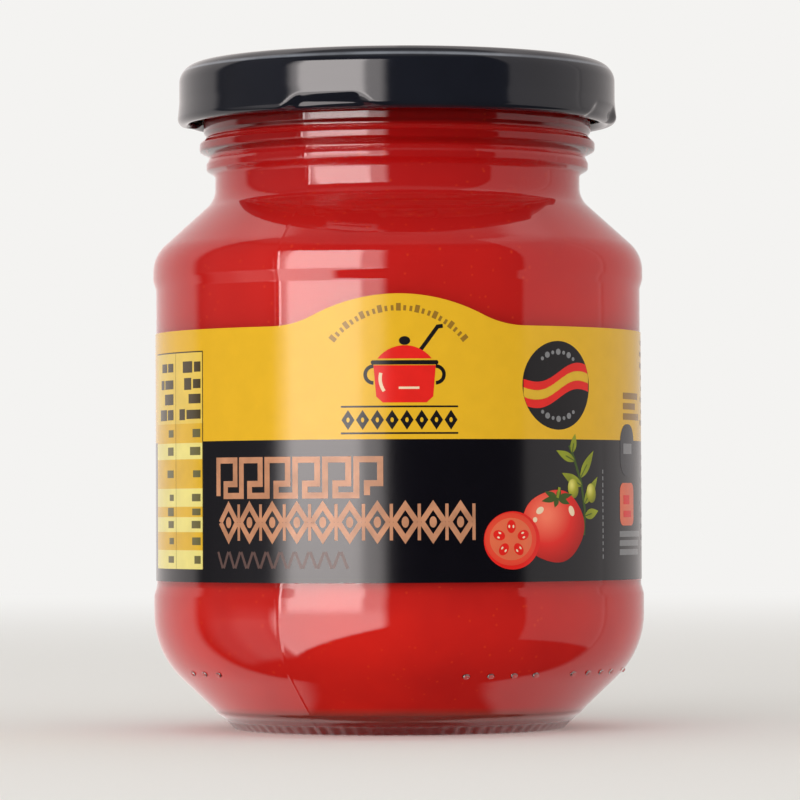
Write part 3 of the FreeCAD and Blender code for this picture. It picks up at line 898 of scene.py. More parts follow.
# The sleeve's columns, in degrees apart, and how many steps there are under the arch
COLUMN_STEP = 2
ARCH_COUNT = 96


def arch_rise(across, settings):
    """Rise of the label's upper edge at a distance from the middle, as seen from the front."""
    half = settings.arch_width / 2
    rise = settings.arch_height
    foot = settings.arch_foot
    crown = (half * half + rise * rise) / (2 * rise) - foot
    across = abs(across)
    if across >= half:
        return 0
    turn_over = half * crown / (crown + foot)
    if across < turn_over:
        return rise - crown + math.sqrt(crown**2 - across**2)
    return foot - math.sqrt(foot**2 - (half - across) ** 2)


def label_edge(settings):
    return LABEL_TOP - settings.arch_height


def band_top(settings):
    return LABEL_BOTTOM + settings.band_height


def sleeve_columns(settings):
    """Angles of the sleeve's columns, closer together under the arch."""
    reach = math.asin(settings.arch_width / 2 / LABEL_RADIUS)
    columns = [FRONT + math.radians(i) for i in range(-180, 180, COLUMN_STEP)]
    columns += [FRONT + reach * (2 * i / ARCH_COUNT - 1) for i in range(ARCH_COUNT + 1)]
    return sorted({round(column % FULL_TURN, 6) for column in columns})


def make_sleeve(settings, films):
    """The label: a closed thin sleeve in two fields, with its arch at the front."""
    columns = []
    for turn in sleeve_columns(settings):
        side = LABEL_RADIUS * math.cos(turn) if math.sin(turn) < 0 else LABEL_RADIUS
        columns.append((turn, label_edge(settings) + arch_rise(side, settings)))
    inner = LABEL_RADIUS - FILM + GLUE_LINE
    piece = label_wall("label_sleeve", columns, LABEL_RADIUS, inner, settings, films, closed=True)
    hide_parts("label")


def make_overlap(settings, films):
    """The glued end of the label that lies over its beginning at the back."""
    spread = OVERLAP_END - OVERLAP_START
    angles = [OVERLAP_START + spread * i / OVERLAP_COUNT for i in range(OVERLAP_COUNT + 1)]
    columns = [(turn, label_edge(settings)) for turn in angles]
    outer = LABEL_RADIUS + FILM
    inner = LABEL_RADIUS - GLUE_LINE
    piece = label_wall("label_overlap", columns, outer, inner, settings, films, closed=False)


def label_wall(name, columns, outer, inner, settings, films, closed):
    """A thin upright wall through columns of an angle and a top height, between two radii: a closed sleeve,
    or a strip with two ends. films holds those of the upper field, the lower field and the cut edges."""
    mesh = bmesh.new()
    posts = []
    for turn, top in columns:
        outside = [(outer, LABEL_BOTTOM), (outer, band_top(settings)), (outer, top)]
        places = outside + [(inner, top), (inner, LABEL_BOTTOM)]
        posts.append([mesh.verts.new(on_jar(turn, radius, z)) for radius, z in places])
    upper, lower, edge = range(3)
    following = posts[1:] + (posts[:1] if closed else [])
    for one, other in zip(posts, following):
        for i, film in enumerate((lower, upper, edge, edge, edge)):
            j = (i + 1) % len(one)
            mesh.faces.new((one[i], other[i], other[j], one[j])).material_index = film
    if not closed:
        for end in (posts[0], posts[-1][::-1]):
            mesh.faces.new(end).material_index = edge
    bmesh.ops.recalc_face_normals(mesh, faces=mesh.faces)
    piece = finish_mesh(name, mesh)
    for film in films:
        piece.data.materials.append(film)
    round_normals(piece, everywhere=False)
    return piece


def on_jar(turn, radius, z):
    return (*round_point((0, 0), turn, radius, radius), z)


def round_normals(piece, everywhere):
    """Gives wrapped faces, or all faces, the normals of the round jar. Cut edges keep theirs otherwise."""
    normals = []
    for face in piece.data.polygons:
        wrapped = abs(face.normal.z) < 0.5 and face.normal.dot(face.center) > LABEL_RADIUS / 2
        for index in face.loop_indices:
            co = piece.data.vertices[piece.data.loops[index].vertex_index].co
            outwards = Vector((co.x, co.y, 0)).normalized()
            normals.append(outwards if wrapped or everywhere else face.normal)
    piece.data.normals_split_custom_set(normals)


# How strongly the films and inks reflect, and the black film, and the bare paper's colour
FILM_SHINE = 0.3
BLACK_SHINE = 0.52
PAPER = (0.75, 0.72, 0.66)


def make_films(settings):
    """The label's coated paper in its two colours, and its cut edge."""
    return (
        film_material("Yellow film", settings.yellow, 0.04),
        film_material("Black film", settings.black, 0.1, BLACK_SHINE),
        film_material("Paper edge", PAPER, 0.1),
    )


def film_material(name, tone, share, shine=FILM_SHINE):
    """Coated label paper: even colour, a satin coat and faint waves from the glue."""
    return plain_material(name, tone, share, 3 * MM, (5 * MM, 0.006 * MM, 0.15, 0.05), shine)


# Printed shapes. They lie on the label in its own units: mm to the right of the front's middle, round
# the jar, and mm above the floor.


class Print:
    """A set of flat outlines with an ink and a layer, wrapped together onto the label as one piece."""

    def __init__(self, name):
        self.name = name
        self.shapes = []

    def add(self, ink, outline, layer=1):
        self.shapes.append((ink, outline, layer))

    def wrap(self, inks):
        """Cuts the outlines into upright strips, bends them round the jar and joins them."""
        used = sorted({ink for ink, _, _ in self.shapes})
        mesh = bmesh.new()
        shade = mesh.loops.layers.uv.new("Shape")
        for ink, outline, layer in self.shapes:
            flat = flat_shape(outline)
            lows = [min(p[i] for p in outline) for i in (0, 1)]
            spans = [max(p[i] for p in outline) - lows[i] for i in (0, 1)]
            radius = LABEL_RADIUS + INK_STEP * layer
            copies = {}
            for vert in flat.verts:
                turn = FRONT + vert.co.x * MM / radius
                copies[vert] = mesh.verts.new(on_jar(turn, radius, vert.co.y * MM))
            for face in flat.faces:
                made = mesh.faces.new([copies[vert] for vert in face.verts])
                made.material_index = used.index(ink)
                for loop, old in zip(made.loops, face.loops):
                    loop[shade].uv = [(old.vert.co[i] - lows[i]) / spans[i] for i in (0, 1)]
            flat.free()
        turn_outwards(mesh)
        piece = finish_mesh(self.name, mesh)
        for ink in used:
            piece.data.materials.append(inks[ink])
        round_normals(piece, everywhere=True)


# Width of a strip in mm that is narrow enough to bend
STRIP = 1.3


def flat_shape(outline):
    """A filled outline, cut by upright lines into strips."""
    flat = bmesh.new()
    flat.faces.new([flat.verts.new((u, z, 0)) for u, z in outline])
    bmesh.ops.triangulate(flat, faces=flat.faces)
    low = min(u for u, z in outline)
    high = max(u for u, z in outline)
    for i in range(math.ceil(low / STRIP), math.ceil(high / STRIP)):
        geometry = [*flat.verts, *flat.edges, *flat.faces]
        place = (i * STRIP, 0, 0)
        bmesh.ops.bisect_plane(flat, geom=geometry, plane_co=place, plane_no=(1, 0, 0), dist=1e-5)
    return flat


def turn_outwards(mesh):
    """Turns every face of a wrapped print away from the jar's axis."""
    for face in mesh.faces:
        face.normal_update()
        centre = face.calc_center_median()
        if face.normal.dot(Vector((centre.x, centre.y, 0))) < 0:
            face.normal_flip()


def bar(left, low, right, high):
    return [(left, low), (right, low), (right, high), (left, high)]


def pill(left, low, right, high, radius):
    """A rectangle with rounded corners."""
    quarter = math.pi / 2
    step = math.radians(15)
    outline = []
    corners = ((right, high, 0), (left, high, 1), (left, low, 2), (right, low, 3))
    for across, up, turn in corners:
        side = -1 if across == right else 1
        rise = -1 if up == high else 1
        centre = (across + side * radius, up + rise * radius)
        outline += arc(centre, radius, turn * quarter, (turn + 1) * quarter, step)
    return outline


def oval(across, up, width, height, lobes=0, depth=0.0, tilt=0.0, count=48):
    """An ellipse, with shallow lobes where asked."""
    outline = []
    for i in range(count):
        t = FULL_TURN * i / count
        size = 1 + depth * math.cos(lobes * t)
        x = size * width / 2 * math.cos(t)
        y = size * height / 2 * math.sin(t)
        right = across + x * math.cos(tilt) - y * math.sin(tilt)
        rise = up + x * math.sin(tilt) + y * math.cos(tilt)
        outline.append((right, rise))
    return outline


def stroke(points, width):
    """A line of one width through the points, with mitred bends, as one outline."""
    left = []
    right = []
    for i, point in enumerate(points):
        here = Vector(point)
        before = (here - Vector(points[i - 1])).normalized() if i else None
        after = (Vector(points[i + 1]) - here).normalized() if i + 1 < len(points) else None
        one = before or after
        other = after or before
        along = (one + other).normalized()
        normal = Vector((-along.y, along.x))
        reach = width / 2 / max(0.3, normal.dot(Vector((-one.y, one.x))))
        left.append(tuple(here + normal * reach))
        right.append(tuple(here - normal * reach))
    return left + right[::-1]


def leaf(base, tip, width):
    """A pointed leaf from its stalk to its tip."""
    start = Vector(base)
    along = Vector(tip) - start
    side = Vector((-along.y, along.x)).normalized()
    count = 9
    upper = []
    lower = []
    for i in range(count + 1):
        middle = start + along * (i / count)
        out = side * width / 2 * math.sin(math.pi * (i / count) ** 0.8)
        upper.append(tuple(middle + out))
        if 0 < i < count:
            lower.append(tuple(middle - out))
    return upper + lower[::-1]


# Places of a shaded ink's light, middle and dark tone, by the distance from its light spot
SHADE_STOPS = (0.06, 0.4, 0.85)


def shaded_ink(name, spot, *shades):
    """Ink that is light at a spot of its shape and darkens away from it, as on a drawn round fruit."""
    material, tree, shader = new_material(name)
    place = add_node(tree, "ShaderNodeUVMap", uv_map="Shape").outputs["UV"]
    away = add_node(tree, "ShaderNodeVectorMath", {0: place, 1: (*spot, 0)}, operation="DISTANCE")
    ramp = add_node(tree, "ShaderNodeValToRGB", {"Fac": away.outputs["Value"]})
    stops = ramp.color_ramp.elements
    stops.new(SHADE_STOPS[1])
    for stop, position, tone in zip(stops, SHADE_STOPS, shades):
        stop.position = position
        stop.color = (*from_screen(tone), 1)
    wire(tree, shader, {
        **gloss(tree, 5 * MM, 0.006 * MM, 0.2, 0.06),
        "Base Color": ramp.outputs["Color"],
        "Specular IOR Level": FILM_SHINE,
    })
    return material


# Inks of one colour, by their screen values
PLAIN_INKS = (
    ("black", "Black ink", (26, 24, 26)),
    ("brown", "Brown ink", (150, 112, 40)),
    ("dim copper", "Dim copper ink", (96, 74, 70)),
    ("pale", "Pale yellow ink", (234, 220, 128)),
    ("straw", "Straw ink", (230, 196, 84)),
    ("gold", "Gold ink", (222, 176, 44)),
    ("umber", "Umber ink", (72, 60, 34)),
    ("grey", "Grey ink", (128, 128, 130)),
    ("dark grey", "Dark grey ink", (62, 62, 66)),
    ("olive", "Olive ink", (104, 98, 56)),
    ("coral", "Coral ink", (226, 108, 74)),
    ("cream", "Cream ink", (240, 214, 180)),
    ("deep green", "Deep green ink", (62, 84, 30)),
)
# Shaded inks: the place of the light spot in the shape, and the light, middle and dark tone
SHADED_INKS = (
    ("skin", "Tomato skin ink", (0.36, 0.66), (246, 120, 92), (222, 40, 32), (120, 12, 14)),
    ("flesh", "Tomato flesh ink", (0.5, 0.5), (246, 132, 98), (228, 72, 50), (196, 38, 30)),
    ("fruit", "Olive fruit ink", (0.35, 0.7), (222, 214, 110), (166, 164, 44), (92, 96, 26)),
)


def make_inks(settings):
    """Every ink of the label by name."""
    inks = {
        "red": film_material("Red ink", settings.red, 0.08),
        "copper": film_material("Copper ink", settings.copper, 0.25),
        "green": film_material("Green ink", settings.green, 0.3),
        "yellow": bpy.data.materials["Yellow film"],
    }
    for ink, name, tone in PLAIN_INKS:
        inks[ink] = film_material(name, from_screen(tone), 0.08)
    for ink, name, *look in SHADED_INKS:
        inks[ink] = shaded_ink(name, *look)
    return inks


# Small bars that stand for words, in mm: their lengths, the gap between two, and the least space for one
WORD_LENGTHS = (1.6, 4.4)
WORD_GAP = 0.5
WORD_SPACE = 1.2


def print_words(sheet, source, ink, right, z, height, reach, layer):
    """A line of word-long bars that ends at its right side."""
    end = right
    while end - WORD_SPACE > right - reach:
        long = source.uniform(*WORD_LENGTHS)
        start = max(right - reach, end - long)
        rise = height / 2 * source.uniform(0.8, 1.1)
        sheet.add(ink, bar(start, z - rise, end, z + rise), layer)
        end = start - WORD_GAP


def print_table(inks):
    """A plain two-column table with striped rows on the left. Small bars stand for its words."""
    sheet = Print("label_table")
    left, middle, right = -53.2, -42.6, -34.5
    rows = (58.8, 47.9, 44.9, 42.4, 37.9, 35.1, 33.5, 31.2, 28.4, 25.5)
    sheet.add("umber", bar(left, rows[-1], right + 0.2, rows[0] + 0.2), 1)
    for i, (high, low) in enumerate(zip(rows, rows[1:])):
        ink = "straw" if i == 0 else ("gold" if i % 2 else "pale")
        sheet.add(ink, bar(left, low, middle - 0.1, high), 2)
        sheet.add(ink, bar(middle, low, right, high), 2)
    source = random.Random(4)
    for z, reach in ((56.6, 5.2), (54.0, 5.0), (51.7, 3.4), (49.3, 6.4)):
        print_words(sheet, source, "umber", middle - 1.0, z, 1.6, reach * 1.2, 3)
        print_words(sheet, source, "umber", right - 0.4, z, 1.7, reach, 3)
    for high, low in zip(rows[1:], rows[2:]):
        z = (high + low) / 2
        for end in (middle - 1.0, right - 0.5):
            print_words(sheet, source, "olive", end, z, 1.2, source.uniform(2.0, 3.6), 3)
    sheet.wrap(inks)


def print_emblem(inks):
    """A red cooking pot with a ladle under an arc of small strokes, and a row of lozenges below it."""
    sheet = Print("label_emblem")
    middle = 1.0
    floor_line = 50.6
    pot = [(middle - 4.7, floor_line + 5.6), (middle - 4.3, floor_line + 0.9), (middle - 3.3, floor_line)]
    sheet.add("red", pot + [(2 * middle - u, z) for u, z in reversed(pot)], 2)
    for side in (-1, 1):
        start = -math.pi / 2 if side > 0 else math.pi / 2
        loop = arc((middle + side * 4.7, floor_line + 4.2), 1.25, start, start + math.pi)
        sheet.add("black", stroke(loop, 0.55), 1)
    sheet.add("black", pill(middle - 5.1, floor_line + 5.7, middle + 5.1, floor_line + 6.35, 0.3), 2)
    lid = arc((middle, floor_line + 3.4), 5.2, math.radians(38), math.radians(142), math.radians(8))
    sheet.add("red", lid, 2)
    sheet.add("black", oval(middle, floor_line + 9.3, 1.7, 1.3), 3)
    shine = arc((middle - 0.4, floor_line + 3.6), 3.3, math.radians(165), math.radians(215), math.radians(8))
    sheet.add("cream", stroke(shine, 0.5), 3)
    sheet.add("cream", stroke([(middle - 0.9, floor_line + 2.2), (middle + 2.2, floor_line + 2.2)], 0.35), 3)
    ladle = [(middle + u, floor_line + z) for u, z in ((1.9, 7.2), (5.0, 11.4), (5.8, 11.5))]
    sheet.add("black", stroke(ladle, 0.6), 1)
    for i in range(25):
        turn = math.radians(90 + 50 - 100 * i / 24)
        reach = 13.0 if i % 3 else 13.3
        long = 0.45 if i % 3 else 0.8
        spoke = [round_point((0.1, 51.9), turn, r, r) for r in (reach - long, reach + 0.35)]
        sheet.add("brown", stroke(spoke, 0.42 if i % 3 else 0.7), 1)
    count = 8
    for i in range(count):
        across = -7.6 + 15.6 * i / (count - 1)
        diamond = [(across - 1.0, 48.0), (across, 46.5), (across + 1.0, 48.0), (across, 49.5)]
        sheet.add("black", diamond, 1)
        sheet.add("yellow", oval(across, 48.0, 0.5, 0.75, count=16), 2)
    for rail in (46.0, 50.0):
        sheet.add("black", bar(-8.7, rail - 0.14, 9.1, rail + 0.14), 1)
    sheet.wrap(inks)


def print_ornament(inks):
    """Copper bands on the dark field: a key pattern, a chain of lozenges and a row of fine strokes."""
    sheet = Print("label_ornament")
    left = -30.6
    low, high = 36.7, 42.1
    pitch = 4.85
    line = 0.92
    key = [(left, low)]
    for i in range(6):
        start = left + pitch * i
        key += [(start, high), (start + 3.6, high), (start + 3.6, low + 1.8), (start + 1.6, low + 1.8)]
        key += [(start + 1.6, low), (start + pitch, low)]
    sheet.add("copper", stroke(key[:-1], line), 1)
    low, high = 29.9, 35.4
    middle = (low + high) / 2
    count = 10
    pitch = 4.2
    for i in range(count):
        across = left + 2.2 + pitch * i
        for rise in (high - 0.2, low + 0.2):
            chevron = [(across - 1.75, middle), (across, rise), (across + 1.75, middle)]
            sheet.add("copper", stroke(chevron, 0.85), 1)
        sheet.add("copper", oval(across, middle, 1.1, 1.7, count=20), 1)
        sheet.add("copper", bar(across + 1.85, low, across + 2.35, high), 2)
    low, high = 25.7, 28.2
    for i in range(19):
        across = left + 0.4 + 1.22 * i
        lean = 0.5 if i % 2 else -0.5
        sheet.add("dim copper", stroke([(across - lean, low), (across + lean, high)], 0.46), 1)
    sheet.wrap(inks)


def print_badge(inks):
    """A round dark badge with a ribbon across it and rings of dots."""
    sheet = Print("label_badge")
    across, up, radius = 26.4, 53.3, 6.75
    sheet.add("black", oval(across, up, 2 * radius, 2 * radius, count=72), 1)
    for offset, width, ink in ((1.35, 1.3, "red"), (0.0, 1.5, "gold"), (-1.35, 1.3, "red")):
        sheet.add(ink, ribbon((across, up), radius - 0.05, offset, width), 2)
    for centre in (math.pi / 2, -math.pi / 2):
        for i in range(7):
            turn = centre + math.radians(12.5) * (i - 3)
            size = 0.95 if i % 2 else 0.6
            place = round_point((across, up), turn, 5.1, 5.1)
            sheet.add("grey", oval(*place, size, size, count=14), 3)
    sheet.wrap(inks)


def ribbon(centre, radius, offset, width):
    """A waved band that ends at the edge of a disc, its middle line offset from the disc's centre."""
    upper = []
    lower = []
    count = 96
    for i in range(1, count):
        x = radius * (2 * i / count - 1)
        reach = math.sqrt(radius**2 - x * x)
        middle = 0.9 * math.sin(math.pi * x / radius) + 0.16 * x + offset
        high = min(reach, middle + width / 2)
        low = max(-reach, middle - width / 2)
        if high > low:
            upper.append((centre[0] + x, centre[1] + high))
            lower.append((centre[0] + x, centre[1] + low))
    return lower + upper[::-1]


def print_tomatoes(inks):
    """A whole tomato, a cut half and an olive sprig on the dark field."""
    sheet = Print("label_tomatoes")
    stem = [(31.8, 30.5), (32.0, 34.5), (31.2, 38.5), (29.6, 42.2), (28.6, 44.2)]
    sheet.add("deep green", stroke(stem, 0.5), 1)
    leaves = (
        ((31.9, 35.2), (35.2, 39.4), 1.7),
        ((31.4, 38.0), (27.0, 40.0), 1.6),
        ((31.0, 39.2), (34.2, 43.4), 1.6),
        ((29.8, 41.8), (25.9, 43.4), 1.4),
        ((29.2, 43.0), (29.9, 46.0), 1.3),
        ((32.0, 33.4), (35.4, 34.2), 1.6),
    )
    for base, tip, width in leaves:
        sheet.add("green", leaf(base, tip, width), 2)
        sheet.add("deep green", stroke([base, tuple((b + t) / 2 for b, t in zip(base, tip))], 0.16), 3)
    for place in ((29.4, 37.6), (33.6, 36.9)):
        sheet.add("fruit", oval(*place, 2.3, 3.0, tilt=0.2, count=24), 4)
    sheet.add("skin", oval(25.6, 31.9, 12.4, 11.0, lobes=5, depth=0.018, count=64), 5)
    for i in range(6):
        turn = math.radians(80 + 60 * i)
        tip = round_point((26.1, 36.2), turn, 3.3, 1.5)
        sheet.add("deep green", leaf((26.1, 36.2), tip, 0.95), 6)
    sheet.add("green", stroke([(26.1, 36.2), (26.5, 37.8)], 0.5), 7)
    for spot in ((22.7, 34.3, 1.5, 1.0), (21.8, 32.9, 0.8, 0.8), (29.0, 34.2, 1.1, 1.7)):
        sheet.add("cream", oval(*spot, tilt=0.5, count=20), 6)
    half = (17.6, 30.0)
    sheet.add("red", oval(half[0] + 0.25, half[1] - 0.2, 9.6, 8.8, count=48), 6)
    sheet.add("flesh", oval(*half, 8.8, 8.0, count=48), 7)
    sheet.add("coral", oval(*half, 7.2, 6.4, count=40), 8)
    for i in range(5):
        turn = math.radians(90 + 72 * i)
        place = round_point(half, turn, 2.15, 1.9)
        sheet.add("red", oval(*place, 2.0, 1.5, tilt=turn, count=20), 9)
        for side in (-0.35, 0.35):
            seed = (place[0] - side * math.sin(turn), place[1] + side * math.cos(turn))
            sheet.add("cream", oval(*seed, 0.5, 0.3, tilt=turn, count=10), 10)
    sheet.wrap(inks)


# Height in mm of the line between the label's two fields
BAND_LINE = (LABEL_BOTTOM + BAND_HEIGHT) / MM


def print_notes(inks):
    """Plain blocks of small bars on the right and round the back, where the fine print would be."""
    sheet = Print("label_notes")
    source = random.Random(11)
    for i in range(14):
        z = 40.2 - i
        sheet.add("grey", bar(36.55, z - source.uniform(0.2, 0.4), 36.85, z + 0.3), 1)
    for z in (52.0, 50.4, 48.8):
        sheet.add("brown", bar(43.6, z - 0.5, 43.6 + source.uniform(6, 9), z + 0.5), 1)
    sheet.add("dark grey", pill(42.4, 39.5, 48.6, 47.6, 2.6), 2)
    sheet.add("grey", bar(43.6, 43.0, 47.4, 44.6), 3)
    sheet.add("coral", pill(42.2, 31.9, 48.4, 38.5, 1.3), 2)
    sheet.add("red", bar(43.6, 33.2, 47.0, 34.2), 3)
    sheet.add("red", bar(43.6, 35.2, 46.2, 36.6), 3)
    for z in (30.6, 29.2, 27.8):
        sheet.add("grey", bar(42.0, z - 0.45, 49.0 + source.uniform(0, 4), z + 0.45), 1)
    for right, reach in ((73.0, 17.0), (96.0, 18.0), (-64.0, 17.0)):
        for row in range(19):
            z = 60.6 - 1.8 * row
            if abs(z - BAND_LINE) < 1.2:
                continue
            ink = "brown" if z > BAND_LINE else "grey"
            print_words(sheet, source, ink, right - source.uniform(0, 3.0), z, 0.8, reach, 1)
    sheet.wrap(inks)


# Studio

# Brightness of the key panel as the gloss shows it, and of the light from the key lamp and the even fill
KEY_SHOWN = 9.0
KEY_LIGHT = 2.65
FILL_LIGHT = 0.82
# What the gloss shows between the panels
GAP_SHOWN = 0.03
# Tints of the panels and of the even fill
PANEL_TINT = (1, 0.93, 0.91, 1)
FILL_TINT = (1, 0.99, 0.97, 1)
# The key lamp: angle from the front, and in metres its distance, lower and upper edge and width
KEY_ANGLE = math.radians(-32)
KEY_DISTANCE = 1.15
KEY_LOW = 0.06
KEY_HIGH = 0.66
KEY_WIDTH = 1.05
# Half the floor's width, and the distances between which it fades, in metres
FLOOR_REACH = 3.0
FLOOR_FADE = (0.25, 1.2)
# Focal length and width of the sensor, in mm
LENS = 209.5
SENSOR = 36


def make_floor(settings):
    """A wide pale floor that fades into the backdrop's colour."""
    data = bpy.data.meshes.new("studio_floor")
    corners = [(x * FLOOR_REACH, y * FLOOR_REACH, 0) for x, y in ((-1, -1), (1, -1), (1, 1), (-1, 1))]
    data.from_pydata(corners, [], [(0, 1, 2, 3)])
    floor = bpy.data.objects.new("studio_floor", data)
    bpy.context.scene.collection.objects.link(floor)
    material, tree, shader = new_material("Studio floor")
    away = add_node(tree, "ShaderNodeVectorMath", {0: add_place(tree)}, operation="LENGTH").outputs["Value"]
    far = map_range(tree, away, *FLOOR_FADE, curve="SMOOTHSTEP")
    wire(tree, shader, {"Base Color": (*settings.floor, 1), "Roughness": 0.85, "Specular IOR Level": 0.1})
    glow = add_node(tree, "ShaderNodeEmission", {"Color": (*settings.backdrop, 1)})
    seen, reflected = seen_and_glossy(tree)
    share = math_node(tree, "MULTIPLY", far, seen)
    plain = mix_shaders(tree, share, shader.outputs[0], glow.outputs[0])
    clear = add_node(tree, "ShaderNodeBsdfTransparent")
    mixed = mix_shaders(tree, reflected, plain, clear.outputs[0])
    tree.links.new(mixed, tree.nodes["Material Output"].inputs["Surface"])
    data.materials.append(material)


def panel_mask(tree, turn, height, left, right, low, high, side_soft, soft, climb):
    """1 inside a panel of the studio and 0 outside it. Its numbers are those of STUDIO_PANELS."""
    above_low = height
    if climb:
        along = math_node(tree, "SUBTRACT", turn, math.radians(left))
        above_low = math_node(tree, "SUBTRACT", height, math_node(tree, "MULTIPLY", along, climb))
    edges = (
        (turn, left, 1, side_soft),
        (turn, right, -1, side_soft),
        (above_low, low, 1, soft),
        (height, high, -1, soft),
    )
    mask = None
    for value, edge, side, softness in edges:
        middle = math.radians(edge)
        reach = side * math.radians(softness)
        step = map_range(tree, value, middle - reach, middle + reach, curve="SMOOTHSTEP")
        mask = step if mask is None else math_node(tree, "MULTIPLY", mask, step)
    return mask


# Panels round the jar as the gloss shows them: brightness, left and right edge from the front, lower and
# upper edge from level, softness of the sides and of the other edges, and how far the lower edge climbs for
# each degree to the right. Angles are in degrees. The gloss doesn't show the floor, so they reach below it.
STUDIO_PANELS = (
    (KEY_SHOWN * 0.6, -53, -17, -2, 31, 2, 2, 0),
    (KEY_SHOWN * 0.4, -58, -6.5, -2, 31, 3, 2, 0),
    (KEY_SHOWN * 0.55, -61, -6.5, -43.5, -2, 3, 2, 0.58),
    (0.45, -100, -61, -44, -3, 7, 4, 0),
    (0.5, -84, -61, -44, -3, 7, 4, 0),
    (0.16, -106, -60, -3, 45, 10, 4, 0),
    (0.68, 61, 112, -25, 62, 1.5, 1.5, 0),
    (0.7, 112, 200, -66, 62, 4, 4, 0),
    (0.98, -200, -110, -65, 62, 4, 4, 0),
    (0.35, -400, 400, 50, 90, 6, 6, 0),
)


def make_world(settings):
    """Even soft fill for the surfaces, with pale panels that the gloss shows and a pale backdrop behind."""
    world = bpy.data.worlds.new("Studio")
    bpy.context.scene.world = world
    world.use_nodes = True
    tree = world.node_tree
    right, back, up = parts_of(tree, add_node(tree, "ShaderNodeTexCoord").outputs["Generated"])
    turn = math_node(tree, "ARCTAN2", right, math_node(tree, "MULTIPLY", back, -1.0))
    height = math_node(tree, "ARCSINE", up)
    shown = GAP_SHOWN
    for strength, *panel in STUDIO_PANELS:
        mask = panel_mask(tree, turn, height, *panel)
        shown = math_node(tree, "ADD", math_node(tree, "MULTIPLY", mask, strength), shown)
    panels, fill, pale = (
        add_node(tree, "ShaderNodeBackground", {"Color": tint, "Strength": strength}).outputs[0]
        for tint, strength in ((PANEL_TINT, shown), (FILL_TINT, FILL_LIGHT), ((*settings.backdrop, 1), 1.0))
    )
    seen, reflected = seen_and_glossy(tree)
    lit = mix_shaders(tree, reflected, fill, panels)
    mixed = mix_shaders(tree, seen, lit, pale)
    tree.links.new(mixed, tree.nodes["World Output"].inputs["Surface"])


def make_key():
    """A soft box at the left in front that faces the jar. The gloss shows the world's panels in its place."""
    data = bpy.data.lights.new("key", "AREA")
    data.shape = "RECTANGLE"
    data.size = KEY_WIDTH
    data.size_y = KEY_HIGH - KEY_LOW
    data.energy = KEY_LIGHT * math.pi * KEY_WIDTH * (KEY_HIGH - KEY_LOW)
    lamp = bpy.data.objects.new("key", data)
    across, back = round_point((0, 0), FRONT + KEY_ANGLE, KEY_DISTANCE, KEY_DISTANCE)
    lamp.location = (across, back, (KEY_LOW + KEY_HIGH) / 2)
    lamp.rotation_euler = Vector((-across, -back, 0)).to_track_quat("-Z", "Y").to_euler()
    lamp.visible_glossy = False
    bpy.context.scene.collection.objects.link(lamp)


def make_camera(settings):
    data = bpy.data.cameras.new("camera")
    data.lens = LENS
    data.sensor_width = SENSOR
    camera = bpy.data.objects.new("camera", data)
    camera.location = (settings.side, -settings.distance, settings.eye_height)
    camera.rotation_mode = "XYZ"
    camera.rotation_euler = (math.pi / 2 + settings.tilt, 0, 0)
    camera.rotation_euler.rotate_axis("Z", -settings.roll)
    bpy.context.scene.collection.objects.link(camera)
    bpy.context.scene.camera = camera


# Operators and panel


class SAUCEJAR_OT_glass(bpy.types.Operator):
    """Builds the glass jar with its seams, thread ramps and mould marks"""

    bl_idname = "saucejar.glass"
    bl_label = "Glass jar"

    def execute(self, context):
        make_glass(context.scene.jar_glass)
        make_marks(context.scene.jar_glass)
        return {"FINISHED"}


class SAUCEJAR_OT_sauce(bpy.types.Operator):
    """Fills the jar with sauce"""

    bl_idname = "saucejar.sauce"
    bl_label = "Sauce"

    def execute(self, context):
        make_sauce(context.scene.jar_sauce)
        return {"FINISHED"}


class SAUCEJAR_OT_lid(bpy.types.Operator):
    """Builds the twist-off lid and its sealing ring"""

    bl_idname = "saucejar.lid"
    bl_label = "Lid"

    def execute(self, context):
        make_lid(context.scene.jar_lid)
        make_gasket(context.scene.jar_lid)
        return {"FINISHED"}


class SAUCEJAR_OT_label(bpy.types.Operator):
    """Wraps the label sleeve round the jar"""

    bl_idname = "saucejar.label"
    bl_label = "Label sleeve"

    def execute(self, context):
        settings = context.scene.jar_label
        films = make_films(settings)
        make_sleeve(settings, films)
        make_overlap(settings, films)
        return {"FINISHED"}


class SAUCEJAR_OT_print(bpy.types.Operator):
    """Prints the label"""

    bl_idname = "saucejar.print"
    bl_label = "Label print"

    def execute(self, context):
        inks = make_inks(context.scene.jar_label)
        for draw in (print_table, print_emblem, print_ornament, print_badge, print_tomatoes, print_notes):
            draw(inks)
        return {"FINISHED"}


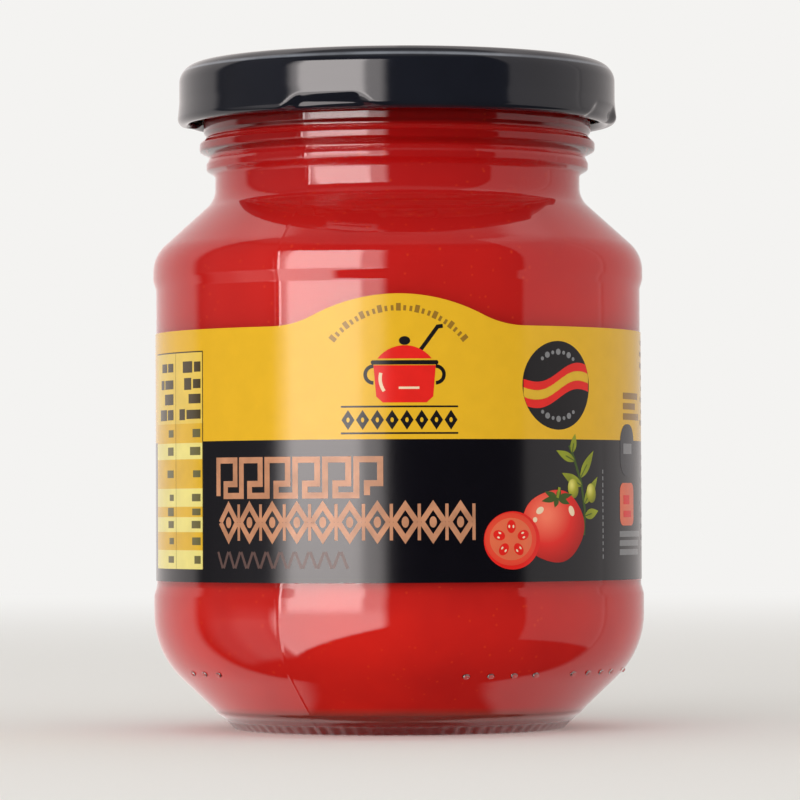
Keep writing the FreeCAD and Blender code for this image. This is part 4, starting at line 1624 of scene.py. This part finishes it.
class SAUCEJAR_OT_stage(bpy.types.Operator):
    """Sets up the floor, backdrop, lamp and camera"""

    bl_idname = "saucejar.stage"
    bl_label = "Studio"

    def execute(self, context):
        settings = context.scene.jar_stage
        context.scene.view_settings.view_transform = "Standard"
        make_floor(settings)
        make_world(settings)
        make_key()
        make_camera(settings)
        return {"FINISHED"}


OPERATORS = (
    SAUCEJAR_OT_glass,
    SAUCEJAR_OT_sauce,
    SAUCEJAR_OT_lid,
    SAUCEJAR_OT_label,
    SAUCEJAR_OT_print,
    SAUCEJAR_OT_stage,
)
SETTINGS = {
    "jar_glass": GlassSettings,
    "jar_sauce": SauceSettings,
    "jar_lid": LidSettings,
    "jar_label": LabelSettings,
    "jar_stage": StageSettings,
}


class SAUCEJAR_PT_panel(bpy.types.Panel):
    """Lists the jar's settings and operators"""

    bl_idname = "SAUCEJAR_PT_panel"
    bl_label = "Sauce jar"
    bl_space_type = "VIEW_3D"
    bl_region_type = "UI"
    bl_category = "Sauce jar"

    def draw(self, context):
        for name, group in SETTINGS.items():
            box = self.layout.box()
            box.label(text=group.__doc__)
            for field in group.__annotations__:
                box.prop(getattr(context.scene, name), field)
        for operator in OPERATORS:
            self.layout.operator(operator.bl_idname)


def register():
    for group in SETTINGS.values():
        bpy.utils.register_class(group)
    for operator in OPERATORS:
        bpy.utils.register_class(operator)
    bpy.utils.register_class(SAUCEJAR_PT_panel)
    for name, group in SETTINGS.items():
        setattr(bpy.types.Scene, name, PointerProperty(type=group))


def unregister():
    for name in SETTINGS:
        delattr(bpy.types.Scene, name)
    bpy.utils.unregister_class(SAUCEJAR_PT_panel)
    for operator in reversed(OPERATORS):
        bpy.utils.unregister_class(operator)
    for group in reversed(SETTINGS.values()):
        bpy.utils.unregister_class(group)


def main():
    register()
    bpy.ops.saucejar.glass()
    bpy.ops.saucejar.sauce()
    bpy.ops.saucejar.lid()
    bpy.ops.saucejar.label()
    bpy.ops.saucejar.print()
    bpy.ops.saucejar.stage()


if __name__ == "__main__":
    main()
